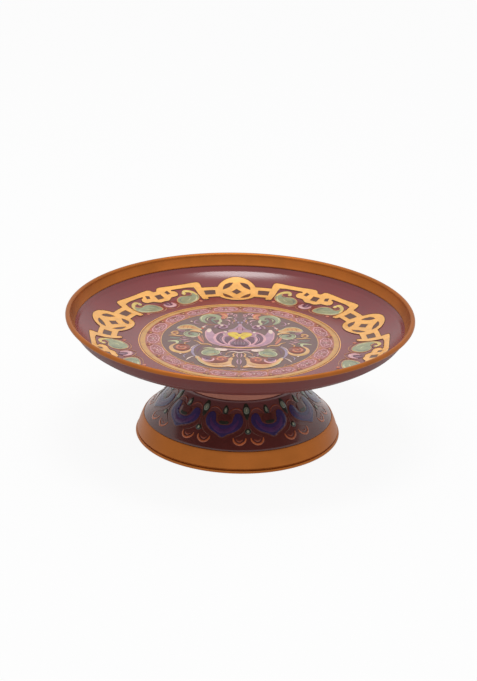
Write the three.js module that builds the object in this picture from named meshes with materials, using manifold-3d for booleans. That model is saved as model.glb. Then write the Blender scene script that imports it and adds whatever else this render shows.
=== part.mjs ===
// Footed offering plate: a lacquered sheet-metal dish with a rolled gilt rim, on a bell-shaped foot with a gilt band.
// A stud brazed under the dish passes down the hollow neck and is drawn tight by a nut inside the foot.
// Millimetres, +Z up, origin on the floor under the axis.
import * as THREE from "three";
import Module from "manifold-3d";
import { mergeVertices } from "three/addons/utils/BufferGeometryUtils.js";

// Whole stand
const standHeight = 98; // floor to the top of the lip
const lipRadius = 130; // widest radius
const clearance = 0.2; // left between pieces that seat on each other
const holeClearance = 0.35; // round the stud, on the radius

// Dish
const dishSheet = 1;
const wellDepth = 23.5; // lip top to the flat floor
const wellFlatRadius = 90;
const shoulderInset = 10; // from the lip's edge in to where the bowl turns up
const shoulderDrop = 13.1; // from the lip's top down to the same place
const shoulderRadius = 7; // the turn, on the inside
const edgeInset = 2.45; // from the lip's edge in to the dish's own edge

// Rim ring
const beadRadius = 1.85; // half the thickness of the rounded lip
const ledgeDrop = 1.25; // bead centre down to the ledge that caps the dish
const linerHeight = 7.3; // bead centre down to the liner's hem
const linerSeat = 2.9; // height over which the liner lies on the dish's wall
const linerThickness = 0.7;
const hemRadius = 0.5;

// Neck cup
const footTopHeight = 44.2; // floor to the flat top of the foot
const waistRadius = 43.5;
const waistCorner = 1; // rounded corner at the waist, on cup and foot alike
const cupSheet = 1.2;
const cupTopRadius = 55;
const cupSwell = 2.5; // how far the flare has opened at its control point
const cupSeatWidth = 5; // turned-in flange under the dish

// Foot shell
const footSheet = 1.2;
const flankControlRadius = 58; // the bell's hollow flank bends towards this point
const flankControlHeight = 28;

// Foot band
const footRadius = 77; // over the rolled base bead
const bandHeight = 16; // floor to the band's top edge
const bandTopRadius = 72;
const bandFootRadius = 75.8;
const bandSheet = 1.2;
const baseBeadRadius = 1.3;
const baseBeadLift = 0.6; // floor to the underside of the bead
const grooveDepth = 0.5;
const grooveWidth = 0.8;
const flangeWidth = 6.5; // inward from the bead's centre
const flangeSheet = 1;

// Felt pad
const padThickness = 1.2;
const padWidth = 5;

// Stud and hardware
const studRadius = 3;
const studTail = 6; // shank that shows below the nut
const studChamfer = 0.7;
const studPlateRadius = 28;
const studPlateThickness = 1.6;
const bossRadius = 7;
const bossHeight = 5;
const spreaderRadius = 31;
const spreaderThickness = 2;
const spreaderLip = 5; // height of the turned-down edge
const washerRadius = 9;
const washerThickness = 1.6;
const springWasherRadius = 5.9;
const springWasherThickness = 1.5;
const springWasherRise = 0.7; // how far its cut ends stand apart
const springWasherGap = 22; // degrees
const nutAcrossFlats = 10;
const nutHeight = 5;
const nutChamfer = 0.5;

const largeSteps = 64;
const smallSteps = 36;

const degrees = (radians) => (radians * 180) / Math.PI;
const radians = (angle) => (angle * Math.PI) / 180;

// Points along an arc, angles in degrees from +r towards +z
function arc(centreR, centreZ, radius, from, to, steps) {
  return Array.from({ length: steps + 1 }, (_, i) => {
    const angle = radians(from + ((to - from) * i) / steps);
    return [centreR + radius * Math.cos(angle), centreZ + radius * Math.sin(angle)];
  });
}

// Points along a quadratic curve, moved to its left by an offset
function sweep(start, control, end, offset, steps) {
  return Array.from({ length: steps + 1 }, (_, i) => {
    const t = i / steps;
    const place = (k) => (1 - t) ** 2 * start[k] + 2 * t * (1 - t) * control[k] + t ** 2 * end[k];
    const slope = (k) => (1 - t) * (control[k] - start[k]) + t * (end[k] - control[k]);
    const length = Math.hypot(slope(0), slope(1));
    return [place(0) - (offset * slope(1)) / length, place(1) + (offset * slope(0)) / length];
  });
}

// Turns a closed cross-section of [radius, height] points about the Z axis
function turned(outline, steps) {
  const area = outline.reduce((sum, [r, z], i) => {
    const [nextR, nextZ] = outline[(i + 1) % outline.length];
    return sum + r * nextZ - nextR * z;
  }, 0);
  const ordered = area > 0 ? outline : [...outline].reverse();
  const points = [...ordered, ordered[0]].map(([r, z]) => new THREE.Vector2(r, z));
  return new THREE.LatheGeometry(points, steps).rotateX(Math.PI / 2);
}

function ring(innerRadius, outerRadius, bottom, top, steps) {
  return turned(
    [
      [innerRadius, bottom],
      [outerRadius, bottom],
      [outerRadius, top],
      [innerRadius, top],
    ],
    steps,
  );
}

function solidFrom(geometry) {
  const bare = geometry.clone().deleteAttribute("normal").deleteAttribute("uv");
  const merged = mergeVertices(bare, 1e-4);
  return new wasm.Manifold(
    new wasm.Mesh({
      numProp: 3,
      vertProperties: merged.getAttribute("position").array,
      triVerts: new Uint32Array(merged.index.array),
    }),
  );
}

function geometryFrom(solid) {
  const mesh = solid.getMesh();
  return new THREE.BufferGeometry()
    .setAttribute("position", new THREE.BufferAttribute(mesh.vertProperties, 3))
    .setIndex(new THREE.BufferAttribute(mesh.triVerts, 1));
}

// Dish: flat floor, one wide arc, a tight shoulder, then a straight leaning wall up to the rim ring's ledge
const wellFloor = standHeight - wellDepth;
const beadCentre = standHeight - beadRadius;
const ledgeHeight = beadCentre - ledgeDrop;
const dishEdgeHeight = ledgeHeight - clearance;
const dishEdgeRadius = lipRadius - edgeInset;
const bowlRun = lipRadius - shoulderInset - wellFlatRadius;
const bowlRise = wellDepth - shoulderDrop;
const bowlRadius = (bowlRun ** 2 + bowlRise ** 2) / (2 * bowlRise);
const bowlAngle = degrees(Math.asin(bowlRun / bowlRadius));
const [[shoulderCentreR, shoulderCentreZ]] = arc(
  wellFlatRadius,
  wellFloor + bowlRadius,
  bowlRadius - shoulderRadius,
  bowlAngle - 90,
  bowlAngle - 90,
  1,
);

// The wall runs along the tangent from the shoulder's circle to the dish's edge
const edgeDistance = Math.hypot(dishEdgeRadius - shoulderCentreR, dishEdgeHeight - shoulderCentreZ);
const edgeBearing = Math.atan2(dishEdgeHeight - shoulderCentreZ, dishEdgeRadius - shoulderCentreR);
const wallLean = degrees(Math.acos(shoulderRadius / edgeDistance) - edgeBearing);
const wallRadiusAt = (height) =>
  dishEdgeRadius - (dishEdgeHeight - height) * Math.tan(radians(wallLean));

function dishSkin(depth) {
  return [
    ...arc(wellFlatRadius, wellFloor + bowlRadius, bowlRadius + depth, -90, bowlAngle - 90, 5),
    ...arc(
      shoulderCentreR,
      shoulderCentreZ,
      shoulderRadius + depth,
      bowlAngle - 90,
      -wallLean,
      3,
    ).slice(1),
    [dishEdgeRadius + depth / Math.cos(radians(wallLean)), dishEdgeHeight],
  ];
}

function dish() {
  return turned(
    [
      [0, wellFloor],
      ...dishSkin(0),
      ...dishSkin(dishSheet).reverse(),
      [0, wellFloor - dishSheet],
    ],
    largeSteps,
  );
}

// Rim ring: a round bead that caps the dish's edge, and a liner whose hemmed foot lies on the leaning wall
function rimRing() {
  const beadInside = lipRadius - 2 * beadRadius;
  const seatGap = clearance / Math.cos(radians(wallLean));
  const toeHeight = beadCentre - linerHeight;
  const toeRadius = wallRadiusAt(toeHeight) - seatGap;
  const seatTop = toeHeight + linerSeat;
  const linerAngle = Math.atan2(linerHeight, beadInside - toeRadius);
  const ledgeInside = beadInside - ledgeDrop / Math.tan(linerAngle) + linerThickness;
  const ledgeAngle = degrees(Math.asin(ledgeDrop / beadRadius));
  return turned(
    [
      ...arc(
        toeRadius + hemRadius * Math.cos(linerAngle),
        toeHeight + hemRadius * Math.sin(linerAngle),
        hemRadius,
        degrees(linerAngle),
        degrees(linerAngle) + 180,
        4,
      ),
      [wallRadiusAt(seatTop) - seatGap, seatTop],
      [ledgeInside, ledgeHeight],
      ...arc(lipRadius - beadRadius, beadCentre, beadRadius, -ledgeAngle, 0, 2),
      ...arc(lipRadius - beadRadius, beadCentre, beadRadius, 0, 180, 8).slice(1),
    ],
    largeSteps,
  );
}

// Stud plate: a disc with a boss, brazed under the dish to carry the stud
const studBore = studRadius + holeClearance;
const dishUnderside = wellFloor - dishSheet;
const plateTop = dishUnderside - clearance;

function studPlate() {
  const bottom = plateTop - studPlateThickness;
  return turned(
    [
      [studBore, plateTop],
      [studPlateRadius, plateTop],
      [studPlateRadius, bottom],
      [bossRadius + 1, bottom],
      [bossRadius, bottom - 1],
      [bossRadius, bottom - bossHeight],
      [studBore, bottom - bossHeight],
    ],
    smallSteps,
  );
}

// Neck cup: spun sheet that flares from the waist up to a turned-in flange under the dish
function neckCup() {
  const bottom = footTopHeight + clearance;
  const top = dishUnderside - clearance;
  const flare = (offset) =>
    sweep(
      [waistRadius, bottom + waistCorner],
      [waistRadius + cupSwell, (bottom + top) / 2],
      [cupTopRadius, top - cupSheet],
      offset,
      5,
    );
  return turned(
    [
      [studBore, bottom],
      [waistRadius - waistCorner, bottom],
      ...flare(0),
      [cupTopRadius, top],
      [cupTopRadius - cupSeatWidth, top],
      [cupTopRadius - cupSeatWidth, top - cupSheet],
      ...flare(cupSheet).reverse().slice(1),
      [waistRadius - waistCorner - cupSheet, bottom + cupSheet],
      [studBore, bottom + cupSheet],
    ],
    largeSteps,
  );
}

// Foot band: sheet that ends in a rolled bead, with an inward flange for the foot shell to stand on
const baseBeadR = footRadius - baseBeadRadius;
const baseBeadZ = baseBeadLift + baseBeadRadius;
const grooveBottom = baseBeadZ + baseBeadRadius;
const flangeBottom = padThickness + clearance;
const flangeTop = flangeBottom + flangeSheet;
const grooveTop = grooveBottom + grooveWidth;
const faceTaper = (bandFootRadius - bandTopRadius) / (bandHeight - grooveTop);
const insideTaper = (bandFootRadius - bandTopRadius) / (bandHeight - flangeTop);
const bandInsideAt = (height) => bandTopRadius - bandSheet + (bandHeight - height) * insideTaper;

function footBand() {
  const flangeInside = baseBeadR - flangeWidth;
  const beadEntry = degrees(Math.asin((baseBeadZ - flangeBottom) / baseBeadRadius));
  const topRound = bandSheet / 4;
  return turned(
    [
      [flangeInside, flangeBottom],
      ...arc(baseBeadR, baseBeadZ, baseBeadRadius, beadEntry - 180, 0, 6),
      ...arc(baseBeadR, baseBeadZ, baseBeadRadius, 0, 90, 3).slice(1),
      [bandFootRadius - grooveDepth, grooveBottom],
      [bandFootRadius, grooveTop],
      [bandTopRadius + topRound * faceTaper, bandHeight - topRound],
      [bandTopRadius - topRound, bandHeight],
      [bandInsideAt(bandHeight), bandHeight],
      [bandInsideAt(flangeTop), flangeTop],
      [flangeInside, flangeTop],
    ],
    largeSteps,
  );
}

// Foot shell: flat top for the clamp, hollow bell flank, and a skirt that stands inside the band
function footShell() {
  const hem = flangeTop + clearance;
  const skirtRadiusAt = (height) => bandInsideAt(height) - clearance;
  const flank = (offset) =>
    sweep(
      [waistRadius, footTopHeight - waistCorner],
      [flankControlRadius, flankControlHeight],
      [skirtRadiusAt(bandHeight), bandHeight + clearance],
      offset,
      7,
    );
  return turned(
    [
      [studBore, footTopHeight],
      [waistRadius - waistCorner, footTopHeight],
      ...flank(0),
      [skirtRadiusAt(hem), hem],
      [skirtRadiusAt(hem) - footSheet, hem],
      ...flank(-footSheet).reverse(),
      [waistRadius - waistCorner - footSheet, footTopHeight - footSheet],
      [studBore, footTopHeight - footSheet],
    ],
    largeSteps,
  );
}

function basePad() {
  const outside = baseBeadR - baseBeadRadius - clearance;
  return ring(outside - padWidth, outside, 0, padThickness, largeSteps);
}

// Heights of the stack that the nut draws up under the foot's flat top
const spreaderTop = footTopHeight - footSheet - clearance;
const washerTop = spreaderTop - spreaderThickness - clearance;
const springTop = washerTop - washerThickness - clearance;
const nutTop = springTop - springWasherThickness - springWasherRise - clearance;

function centreStud() {
  const end = nutTop - nutHeight - studTail;
  return turned(
    [
      [0, end],
      [studRadius - studChamfer, end],
      [studRadius, end + studChamfer],
      [studRadius, plateTop],
      [0, plateTop],
    ],
    smallSteps,
  );
}

// Spreader plate: pressed disc whose turned-down edge stiffens it
function spreaderPlate() {
  const inside = spreaderRadius - spreaderThickness;
  return turned(
    [
      [studBore, spreaderTop - spreaderThickness],
      [inside, spreaderTop - spreaderThickness],
      [inside, spreaderTop - spreaderLip],
      [spreaderRadius, spreaderTop - spreaderLip],
      [spreaderRadius, spreaderTop - spreaderThickness / 3],
      [spreaderRadius - spreaderThickness / 3, spreaderTop],
      [studBore, spreaderTop],
    ],
    smallSteps,
  );
}

// Split spring washer: one square-section turn that climbs from one cut end to the other
function springWasher() {
  const steps = 28;
  const halfGap = radians(springWasherGap / 2);
  const stations = Array.from({ length: steps + 1 }, (_, i) => {
    const angle = halfGap + ((2 * Math.PI - 2 * halfGap) * i) / steps;
    const top = springTop - springWasherRise * (1 - i / steps);
    const bottom = top - springWasherThickness;
    const at = (r, z) => [r * Math.cos(angle), r * Math.sin(angle), z];
    return [
      at(studBore, bottom),
      at(springWasherRadius, bottom),
      at(springWasherRadius, top),
      at(studBore, top),
    ];
  });
  const side = (i, k) => {
    const here = 4 * i + k;
    const next = 4 * i + ((k + 1) % 4);
    return [here, next + 4, next, here, here + 4, next + 4];
  };
  const last = 4 * steps;
  const faces = [
    [0, 1, 2, 0, 2, 3],
    ...stations.slice(1).flatMap((_, i) => [0, 1, 2, 3].map((k) => side(i, k))),
    [last, last + 2, last + 1, last, last + 3, last + 2],
  ];
  return new THREE.BufferGeometry()
    .setAttribute("position", new THREE.Float32BufferAttribute(stations.flat(2), 3))
    .setIndex(faces.flat());
}

// Hexagon nut: a six-sided prism, its corners chamfered by a turned blank with a plain bore
function hexNut() {
  const corner = nutAcrossFlats / Math.sqrt(3);
  const bottom = nutTop - nutHeight;
  const prism = new THREE.CylinderGeometry(corner, corner, nutHeight, 6)
    .rotateX(Math.PI / 2)
    .translate(0, 0, bottom + nutHeight / 2);
  const bore = studRadius + clearance;
  const blank = turned(
    [
      [bore, bottom],
      [corner - nutChamfer, bottom],
      [corner + clearance, bottom + nutChamfer],
      [corner + clearance, nutTop - nutChamfer],
      [corner - nutChamfer, nutTop],
      [bore, nutTop],
    ],
    smallSteps,
  );
  return geometryFrom(solidFrom(prism).intersect(solidFrom(blank)));
}

const finishes = {
  lacquer: { color: 0x5c2630, roughness: 0.22, metalness: 0.1 },
  neckLacquer: { color: 0x7a3f38, roughness: 0.3, metalness: 0.1 },
  gilt: { color: 0xb4692e, roughness: 0.38, metalness: 0.7 },
  steel: { color: 0x9a9a98, roughness: 0.4, metalness: 1 },
  felt: { color: 0x2c1a14, roughness: 0.95, metalness: 0 },
};

function piece(name, geometry, finish) {
  const mesh = new THREE.Mesh(geometry, new THREE.MeshStandardMaterial(finishes[finish]));
  mesh.name = name;
  return mesh;
}

const wasm = await Module();
wasm.setup();

const stand = new THREE.Group();
stand.add(
  piece("dish", dish(), "lacquer"),
  piece("rim_ring", rimRing(), "gilt"),
  piece("stud_plate", studPlate(), "steel"),
  piece("centre_stud", centreStud(), "steel"),
  piece("neck_cup", neckCup(), "neckLacquer"),
  piece("foot_shell", footShell(), "lacquer"),
  piece("spreader_plate", spreaderPlate(), "steel"),
  piece(
    "flat_washer",
    ring(studBore, washerRadius, washerTop - washerThickness, washerTop, smallSteps),
    "steel",
  ),
  piece("spring_washer", springWasher(), "steel"),
  piece("hex_nut", hexNut(), "steel"),
  piece("foot_band", footBand(), "gilt"),
  piece("base_pad", basePad(), "felt"),
);

export default stand;
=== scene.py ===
import math
from math import cos, pi, radians, sin

import bmesh
import bpy
from mathutils import Matrix, Vector


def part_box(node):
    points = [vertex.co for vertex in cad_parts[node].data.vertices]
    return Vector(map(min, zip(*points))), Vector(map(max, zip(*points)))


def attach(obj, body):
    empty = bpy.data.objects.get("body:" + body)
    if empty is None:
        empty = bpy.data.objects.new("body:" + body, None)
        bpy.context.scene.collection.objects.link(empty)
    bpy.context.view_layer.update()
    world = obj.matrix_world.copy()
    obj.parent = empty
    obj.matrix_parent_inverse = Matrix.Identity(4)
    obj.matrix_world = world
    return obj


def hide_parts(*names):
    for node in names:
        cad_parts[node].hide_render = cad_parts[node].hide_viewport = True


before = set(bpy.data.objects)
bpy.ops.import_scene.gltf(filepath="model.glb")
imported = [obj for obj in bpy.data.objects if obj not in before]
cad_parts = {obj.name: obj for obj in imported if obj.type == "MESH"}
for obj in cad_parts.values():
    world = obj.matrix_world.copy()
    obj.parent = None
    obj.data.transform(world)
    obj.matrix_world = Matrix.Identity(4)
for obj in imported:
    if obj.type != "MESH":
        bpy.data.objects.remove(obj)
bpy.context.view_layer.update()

bl_info = {
    "name": "Footed offering plate",
    "version": (1, 0, 0),
    "blender": (4, 5, 0),
    "location": "3D View > Sidebar > Plate",
    "description": "Lacquered dish with a gilt rim on a bell foot, with its enamel ornament",
    "category": "Object",
}

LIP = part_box("rim_ring")[1]
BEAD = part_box("foot_band")[1]
FOOT_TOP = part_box("foot_shell")[1][2]

# Sizes in millimetres that no property sets, the same as in the CAD
CLEARANCE = 0.2
HOLE_RADIUS = 3.35
SHOULDER_INSET = 10
SHOULDER_DROP = 13.1
SHOULDER_RADIUS = 7
EDGE_INSET = 2.45
LEDGE_DROP = 1.25
LINER_HEIGHT = 7.3
LINER_SEAT = 2.9
LINER_THICKNESS = 0.7
HEM_RADIUS = 0.5
WAIST_CORNER = 1
CUP_TOP_RADIUS = 55
CUP_SWELL = 2.5
CUP_SEAT_WIDTH = 5
FLANK_CONTROL = (58, 28)
BAND_TOP_RADIUS = 72
BAND_FOOT_RADIUS = 75.8
BAND_SHEET = 1.2
BASE_BEAD_RADIUS = 1.3
BASE_BEAD_LIFT = 0.6
FLANGE_WIDTH = 6.5
FLANGE_SHEET = 1
PAD_THICKNESS = 1.2
PAD_WIDTH = 5
# The shell's lower edge inside the band, which the CAD works out, rounded here
SHELL_HEM_RADIUS = 74.34

# How deep the flat ornament sinks into the surface that carries it, in millimetres
SUNK = 0.06
# Keeps the cuts through the ornament off its own points, in millimetres
GRID_SHIFT = 0.013
# Radius at which the foot's ornament is drawn flat before it is wrapped round the bell, in millimetres
WRAP_RADIUS = 57.0

# Edges sharper than this stay sharp
SHARP_ANGLE = radians(38)

# The floor lies this many metres under the felt, so that the two never share a plane
FLOOR_GAP = 0.00005
# Share of the floor's look that is its own glow, for the rays that show it to the camera
FLOOR_GLOW = 0.92
# The lamp's two widths and its place, in metres
LAMP_SIZE = (0.55, 0.32)
LAMP_PLACE = (0, 0.05, 1.2)

# The photo's viewpoint, found by fitting the model's outline to the photo's: millimetres for the lens,
# metres for the places, and degrees made radians for the angles
LENS = 126.62
SENSOR_WIDTH = 36
CAMERA_DISTANCE = 1.8
AIM_HEIGHT = 0.05
LOOK_DOWN, ROLL, YAW, PITCH = (radians(angle) for angle in (22.755, 1.456, -0.0274, 0.7297))


def linear(red, green, blue):
    """A colour given as screen values from 0 to 255, for a shader socket."""
    def one(value):
        share = value / 255
        return share / 12.92 if share <= 0.04045 else ((share + 0.055) / 1.055) ** 2.4
    return one(red), one(green), one(blue), 1.0


def length(name, description, default):
    return bpy.props.FloatProperty(
        name=name, description=description, default=default, min=0, precision=5,
        unit="LENGTH", subtype="DISTANCE")


def colour(name, description, default):
    return bpy.props.FloatVectorProperty(
        name=name, description=description, default=default, size=4, min=0, max=1, subtype="COLOR")


class PlateSizes(bpy.types.PropertyGroup):
    stand_height: length("Height", "Floor to the top of the lip", LIP[2])
    lip_radius: length("Lip radius", "Axis to the outside of the lip", LIP[0])
    well_depth: length("Well depth", "Lip down to the flat floor of the dish", 0.0235)
    flat_radius: length("Flat radius", "Radius of the flat floor of the dish", 0.09)
    dish_sheet: length("Dish sheet", "Thickness of the dish's sheet", 0.001)
    bead_radius: length("Lip bead", "Half the thickness of the rolled lip", 0.00185)
    foot_top: length("Foot top", "Floor to the flat top of the foot", FOOT_TOP)
    waist_radius: length("Waist radius", "Radius where neck and foot meet", 0.0435)
    foot_sheet: length("Foot sheet", "Thickness of the foot's and the neck's sheet", 0.0012)
    foot_radius: length("Foot radius", "Axis to the outside of the base bead", BEAD[0])
    band_height: length("Band height", "Floor to the top of the gilt band", BEAD[2])
    turn_steps: bpy.props.IntProperty(
        name="Turn steps", description="Facets round each turned piece", default=216, min=24)


class OrnamentSizes(bpy.types.PropertyGroup):
    relief: length("Relief", "Height of the raised gold work", 0.0004)
    repeats: bpy.props.IntProperty(
        name="Coins", description="Coin shapes round the well, drawn for five", default=5, min=3)
    turn: bpy.props.FloatProperty(
        name="Turn", description="Turn of the well's ornament about the axis",
        default=radians(1.9), subtype="ANGLE", unit="ROTATION")
    scallops: bpy.props.IntProperty(
        name="Scallops", description="Pink ovals round the medallion, drawn for eighteen", default=18,
        min=3)
    petals: bpy.props.IntProperty(
        name="Petals", description="Petals round the foot, drawn for ten", default=10, min=3)
    petal_turn: bpy.props.FloatProperty(
        name="Petal turn", description="Turn of the foot's ornament about the axis",
        default=radians(7.5), subtype="ANGLE", unit="ROTATION")


class PlateColours(bpy.types.PropertyGroup):
    lacquer: colour("Lacquer", "Dish inside", linear(114, 38, 40))
    # Satin outside of the dish, made a little darker than the inside as painted shade under the dish.
    painted_shade_back_lacquer: colour("Back lacquer", "Dish outside", linear(104, 40, 36))
    foot_lacquer: colour("Foot lacquer", "Bell of the foot", linear(84, 36, 32))
    # Painted reflection: the paler colour that the foot's lacquer turns towards at its top, by the waist.
    waist: colour("Waist", "Faded lacquer at the top of the foot", linear(116, 72, 74))
    neck: colour("Neck", "Neck cup", linear(180, 116, 98))
    gilt: colour("Gilt", "Rim ring and foot band", linear(168, 98, 44))
    gold: colour("Gold work", "Fret, coins and rings", linear(232, 172, 90))
    # Painted shadow: the dark sheet that shows round the raised gold fret; the clouds also draw a dark line
    # of their pattern in it.
    edge: colour("Gold edge", "Dark line round the gold work", linear(84, 42, 20))
    green: colour("Leaf green", "Clouds and leaves", linear(140, 144, 112))
    mint: colour("Pale green", "Light edges of the leaves", linear(186, 184, 144))
    jade: colour("Jade", "Dark greens and the foot's beads", linear(112, 120, 106))
    yellow: colour("Heart yellow", "Heart of the flower", linear(208, 178, 56))
    cream: colour("Cream", "Scrolls and caps", linear(204, 154, 100))
    tan: colour("Tan", "Ribbons and shaded cream", linear(164, 106, 70))
    white: colour("Pearl", "Pearls and highlights", linear(216, 190, 176))
    pink: colour("Pink", "Buds and petal edges", linear(204, 152, 158))
    lilac: colour("Lilac", "Pale petals", linear(170, 128, 146))
    purple: colour("Purple", "Hollows of the petals", linear(94, 50, 70))
    lavender: colour("Lavender", "Cool thin scrolls", linear(150, 130, 152))
    salmon: colour("Salmon", "Warm ribbons and beads", linear(190, 106, 80))
    rust: colour("Rust", "Hollows of the scrolls", linear(126, 56, 34))
    rose: colour("Rose ground", "Ground of the scalloped band", linear(164, 94, 76))
    disc: colour("Disc ground", "Ground of the centre medallion", linear(92, 52, 44))
    blue: colour("Petal blue", "Petals of the foot", linear(52, 38, 84))
    violet: colour("Petal violet", "Soft lights in the foot's petals", linear(76, 42, 86))
    ember: colour("Ember", "Loops of the foot", linear(176, 92, 52))
    pine: colour("Pine", "Green-black grounds of the foot's beads", linear(38, 40, 32))
    mauve: colour("Mauve", "Cores of the scalloped band", linear(150, 90, 86))
    straw: colour("Straw", "Heads of the clouds and a fine scroll", linear(212, 182, 100))
    copper: colour("Copper line", "Thin lines of the foot", linear(96, 48, 36))


class StageSettings(bpy.types.PropertyGroup):
    floor_size: length("Floor size", "Side of the pale floor", 12.0)
    floor_colour: colour("Floor colour", "Colour of the floor", (0.72, 0.72, 0.72, 1))
    lamp_power: bpy.props.FloatProperty(
        name="Lamp power", description="Power of the overhead lamp", default=5.6, min=0,
        unit="POWER")
    world_light: bpy.props.FloatProperty(
        name="World light", description="Strength of the surroundings", default=0.8, min=0)


# Curves and outlines, in millimetres

def mm(value):
    return value * 1000


def arc(centre, radius, start, end, steps):
    """Points on an arc, angles in degrees."""
    return [(centre[0] + radius * cos(radians(start + (end - start) * i / steps)),
             centre[1] + radius * sin(radians(start + (end - start) * i / steps)))
            for i in range(steps + 1)]


def bend(start, control, end, steps, offset=0.0):
    """Points on a quadratic curve, moved sideways by an offset."""
    points = []
    for i in range(steps + 1):
        t = i / steps
        place = [(1 - t) ** 2 * start[k] + 2 * t * (1 - t) * control[k] + t ** 2 * end[k] for k in (0, 1)]
        slope = [(1 - t) * (control[k] - start[k]) + t * (end[k] - control[k]) for k in (0, 1)]
        size = math.hypot(*slope)
        points.append((place[0] - offset * slope[1] / size, place[1] + offset * slope[0] / size))
    return points


def rounded(corners, steps=4):
    """Replaces each corner (x, y, radius) of a closed outline by an arc that touches both its sides."""
    points = []
    for i, (x, y, radius) in enumerate(corners):
        here = Vector((x, y))
        before = Vector(corners[i - 1][:2]) - here
        after = Vector(corners[(i + 1) % len(corners)][:2]) - here
        if radius <= 0:
            points.append((x, y))
            continue
        half = before.angle(after) / 2
        reach = min(radius / math.tan(half), before.length * 0.49, after.length * 0.49)
        radius = reach * math.tan(half)
        middle = here + (before.normalized() + after.normalized()).normalized() * radius / sin(half)
        first = here + before.normalized() * reach - middle
        last = here + after.normalized() * reach - middle
        sweep = first.angle_signed(last)
        for k in range(steps + 1):
            turned_by = Matrix.Rotation(-sweep * k / steps, 2)
            points.append(tuple(middle + turned_by @ first))
    return points


def polar(angle, radius):
    """Plan point at an angle in degrees clockwise from the far side."""
    return radius * sin(radians(angle)), radius * cos(radians(angle))


class DishForm:
    """The dish's measures and the height of its well at any radius."""

    def __init__(self, sizes):
        self.top = mm(sizes.stand_height)
        self.lip = mm(sizes.lip_radius)
        self.sheet = mm(sizes.dish_sheet)
        self.bead = mm(sizes.bead_radius)
        self.floor = self.top - mm(sizes.well_depth)
        self.flat = mm(sizes.flat_radius)
        self.run = self.lip - SHOULDER_INSET - self.flat
        rise = mm(sizes.well_depth) - SHOULDER_DROP
        self.bowl = (self.run ** 2 + rise ** 2) / (2 * rise)
        self.angle = math.degrees(math.asin(self.run / self.bowl))
        reach = self.bowl - SHOULDER_RADIUS
        self.shoulder = (self.flat + reach * sin(radians(self.angle)),
                         self.floor + self.bowl - reach * cos(radians(self.angle)))
        self.edge = (self.lip - EDGE_INSET, self.top - self.bead - LEDGE_DROP - CLEARANCE)
        span = (self.edge[0] - self.shoulder[0], self.edge[1] - self.shoulder[1])
        self.lean = math.acos(SHOULDER_RADIUS / math.hypot(*span)) - math.atan2(span[1], span[0])

    def wall_radius(self, height):
        return self.edge[0] - (self.edge[1] - height) * math.tan(self.lean)

    def height_at(self, radius):
        run = min(max(radius - self.flat, 0), self.run)
        return self.floor + self.bowl - math.sqrt(self.bowl ** 2 - run ** 2)

    def skin(self, depth):
        """The outline from the flat floor up to the edge, that far outside the well."""
        bowl = arc((self.flat, self.floor + self.bowl), self.bowl + depth, -90, self.angle - 90, 22)
        turn = arc(self.shoulder, SHOULDER_RADIUS + depth, self.angle - 90, -math.degrees(self.lean), 12)
        return bowl + turn[1:] + [(self.edge[0] + depth / cos(self.lean), self.edge[1])]


class FootForm:
    """The bell foot's measures and its flank."""

    def __init__(self, sizes):
        self.top = mm(sizes.foot_top)
        self.waist = mm(sizes.waist_radius)
        self.sheet = mm(sizes.foot_sheet)
        self.radius = mm(sizes.foot_radius)
        self.band = mm(sizes.band_height)
        self.start = (self.waist, self.top - WAIST_CORNER)
        self.end = (BAND_TOP_RADIUS - BAND_SHEET - CLEARANCE, self.band + CLEARANCE)
        self.path = bend(self.start, FLANK_CONTROL, self.end, 80)
        steps = [math.dist(a, b) for a, b in zip(self.path, self.path[1:])]
        self.length = sum(steps)
        self.marks = [sum(steps[:i]) for i in range(len(self.path))]

    def flank(self, offset):
        """The bell's side from the waist down into the band, moved that far off it."""
        return bend(self.start, FLANK_CONTROL, self.end, 26, offset)

    def at(self, distance, lift):
        """Radius and height on the flank, that far down from the waist and that far off it."""
        distance = min(max(distance, 0), self.length - 1e-6)
        i = max(k for k, mark in enumerate(self.marks[:-1]) if mark <= distance)
        share = (distance - self.marks[i]) / (self.marks[i + 1] - self.marks[i])
        (r0, z0), (r1, z1) = self.path[i], self.path[i + 1]
        size = math.hypot(r1 - r0, z1 - z0)
        return (r0 + (r1 - r0) * share + lift * -(z1 - z0) / size,
                z0 + (z1 - z0) * share + lift * (r1 - r0) / size)


# Meshes

def finish_mesh(name, bm):
    """Makes a closed bmesh in millimetres an object in metres, smooth but for its sharp edges."""
    bmesh.ops.remove_doubles(bm, verts=bm.verts, dist=1e-4)
    bmesh.ops.dissolve_degenerate(bm, edges=bm.edges, dist=1e-5)
    bmesh.ops.recalc_face_normals(bm, faces=bm.faces)
    bmesh.ops.scale(bm, verts=bm.verts, vec=(0.001, 0.001, 0.001))
    mesh = bpy.data.meshes.new(name)
    bm.to_mesh(mesh)
    bm.free()
    mesh.shade_smooth()
    mesh.set_sharp_from_angle(angle=SHARP_ANGLE)
    piece = bpy.data.objects.new(name, mesh)
    bpy.context.scene.collection.objects.link(piece)
    return piece


def turned(outline, steps, closed=True):
    """Spins an outline of (radius, height) points about the axis."""
    bm = bmesh.new()
    verts = [bm.verts.new((r, 0, z)) for r, z in outline]
    pairs = list(zip(verts, verts[1:])) + ([(verts[-1], verts[0])] if closed else [])
    edges = [bm.edges.new(pair) for pair in pairs]
    bmesh.ops.spin(bm, geom=verts + edges, cent=(0, 0, 0), axis=(0, 0, 1), dvec=(0, 0, 0),
                   angle=2 * pi, steps=steps, use_merge=True, use_duplicate=False)
    return bm


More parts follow.
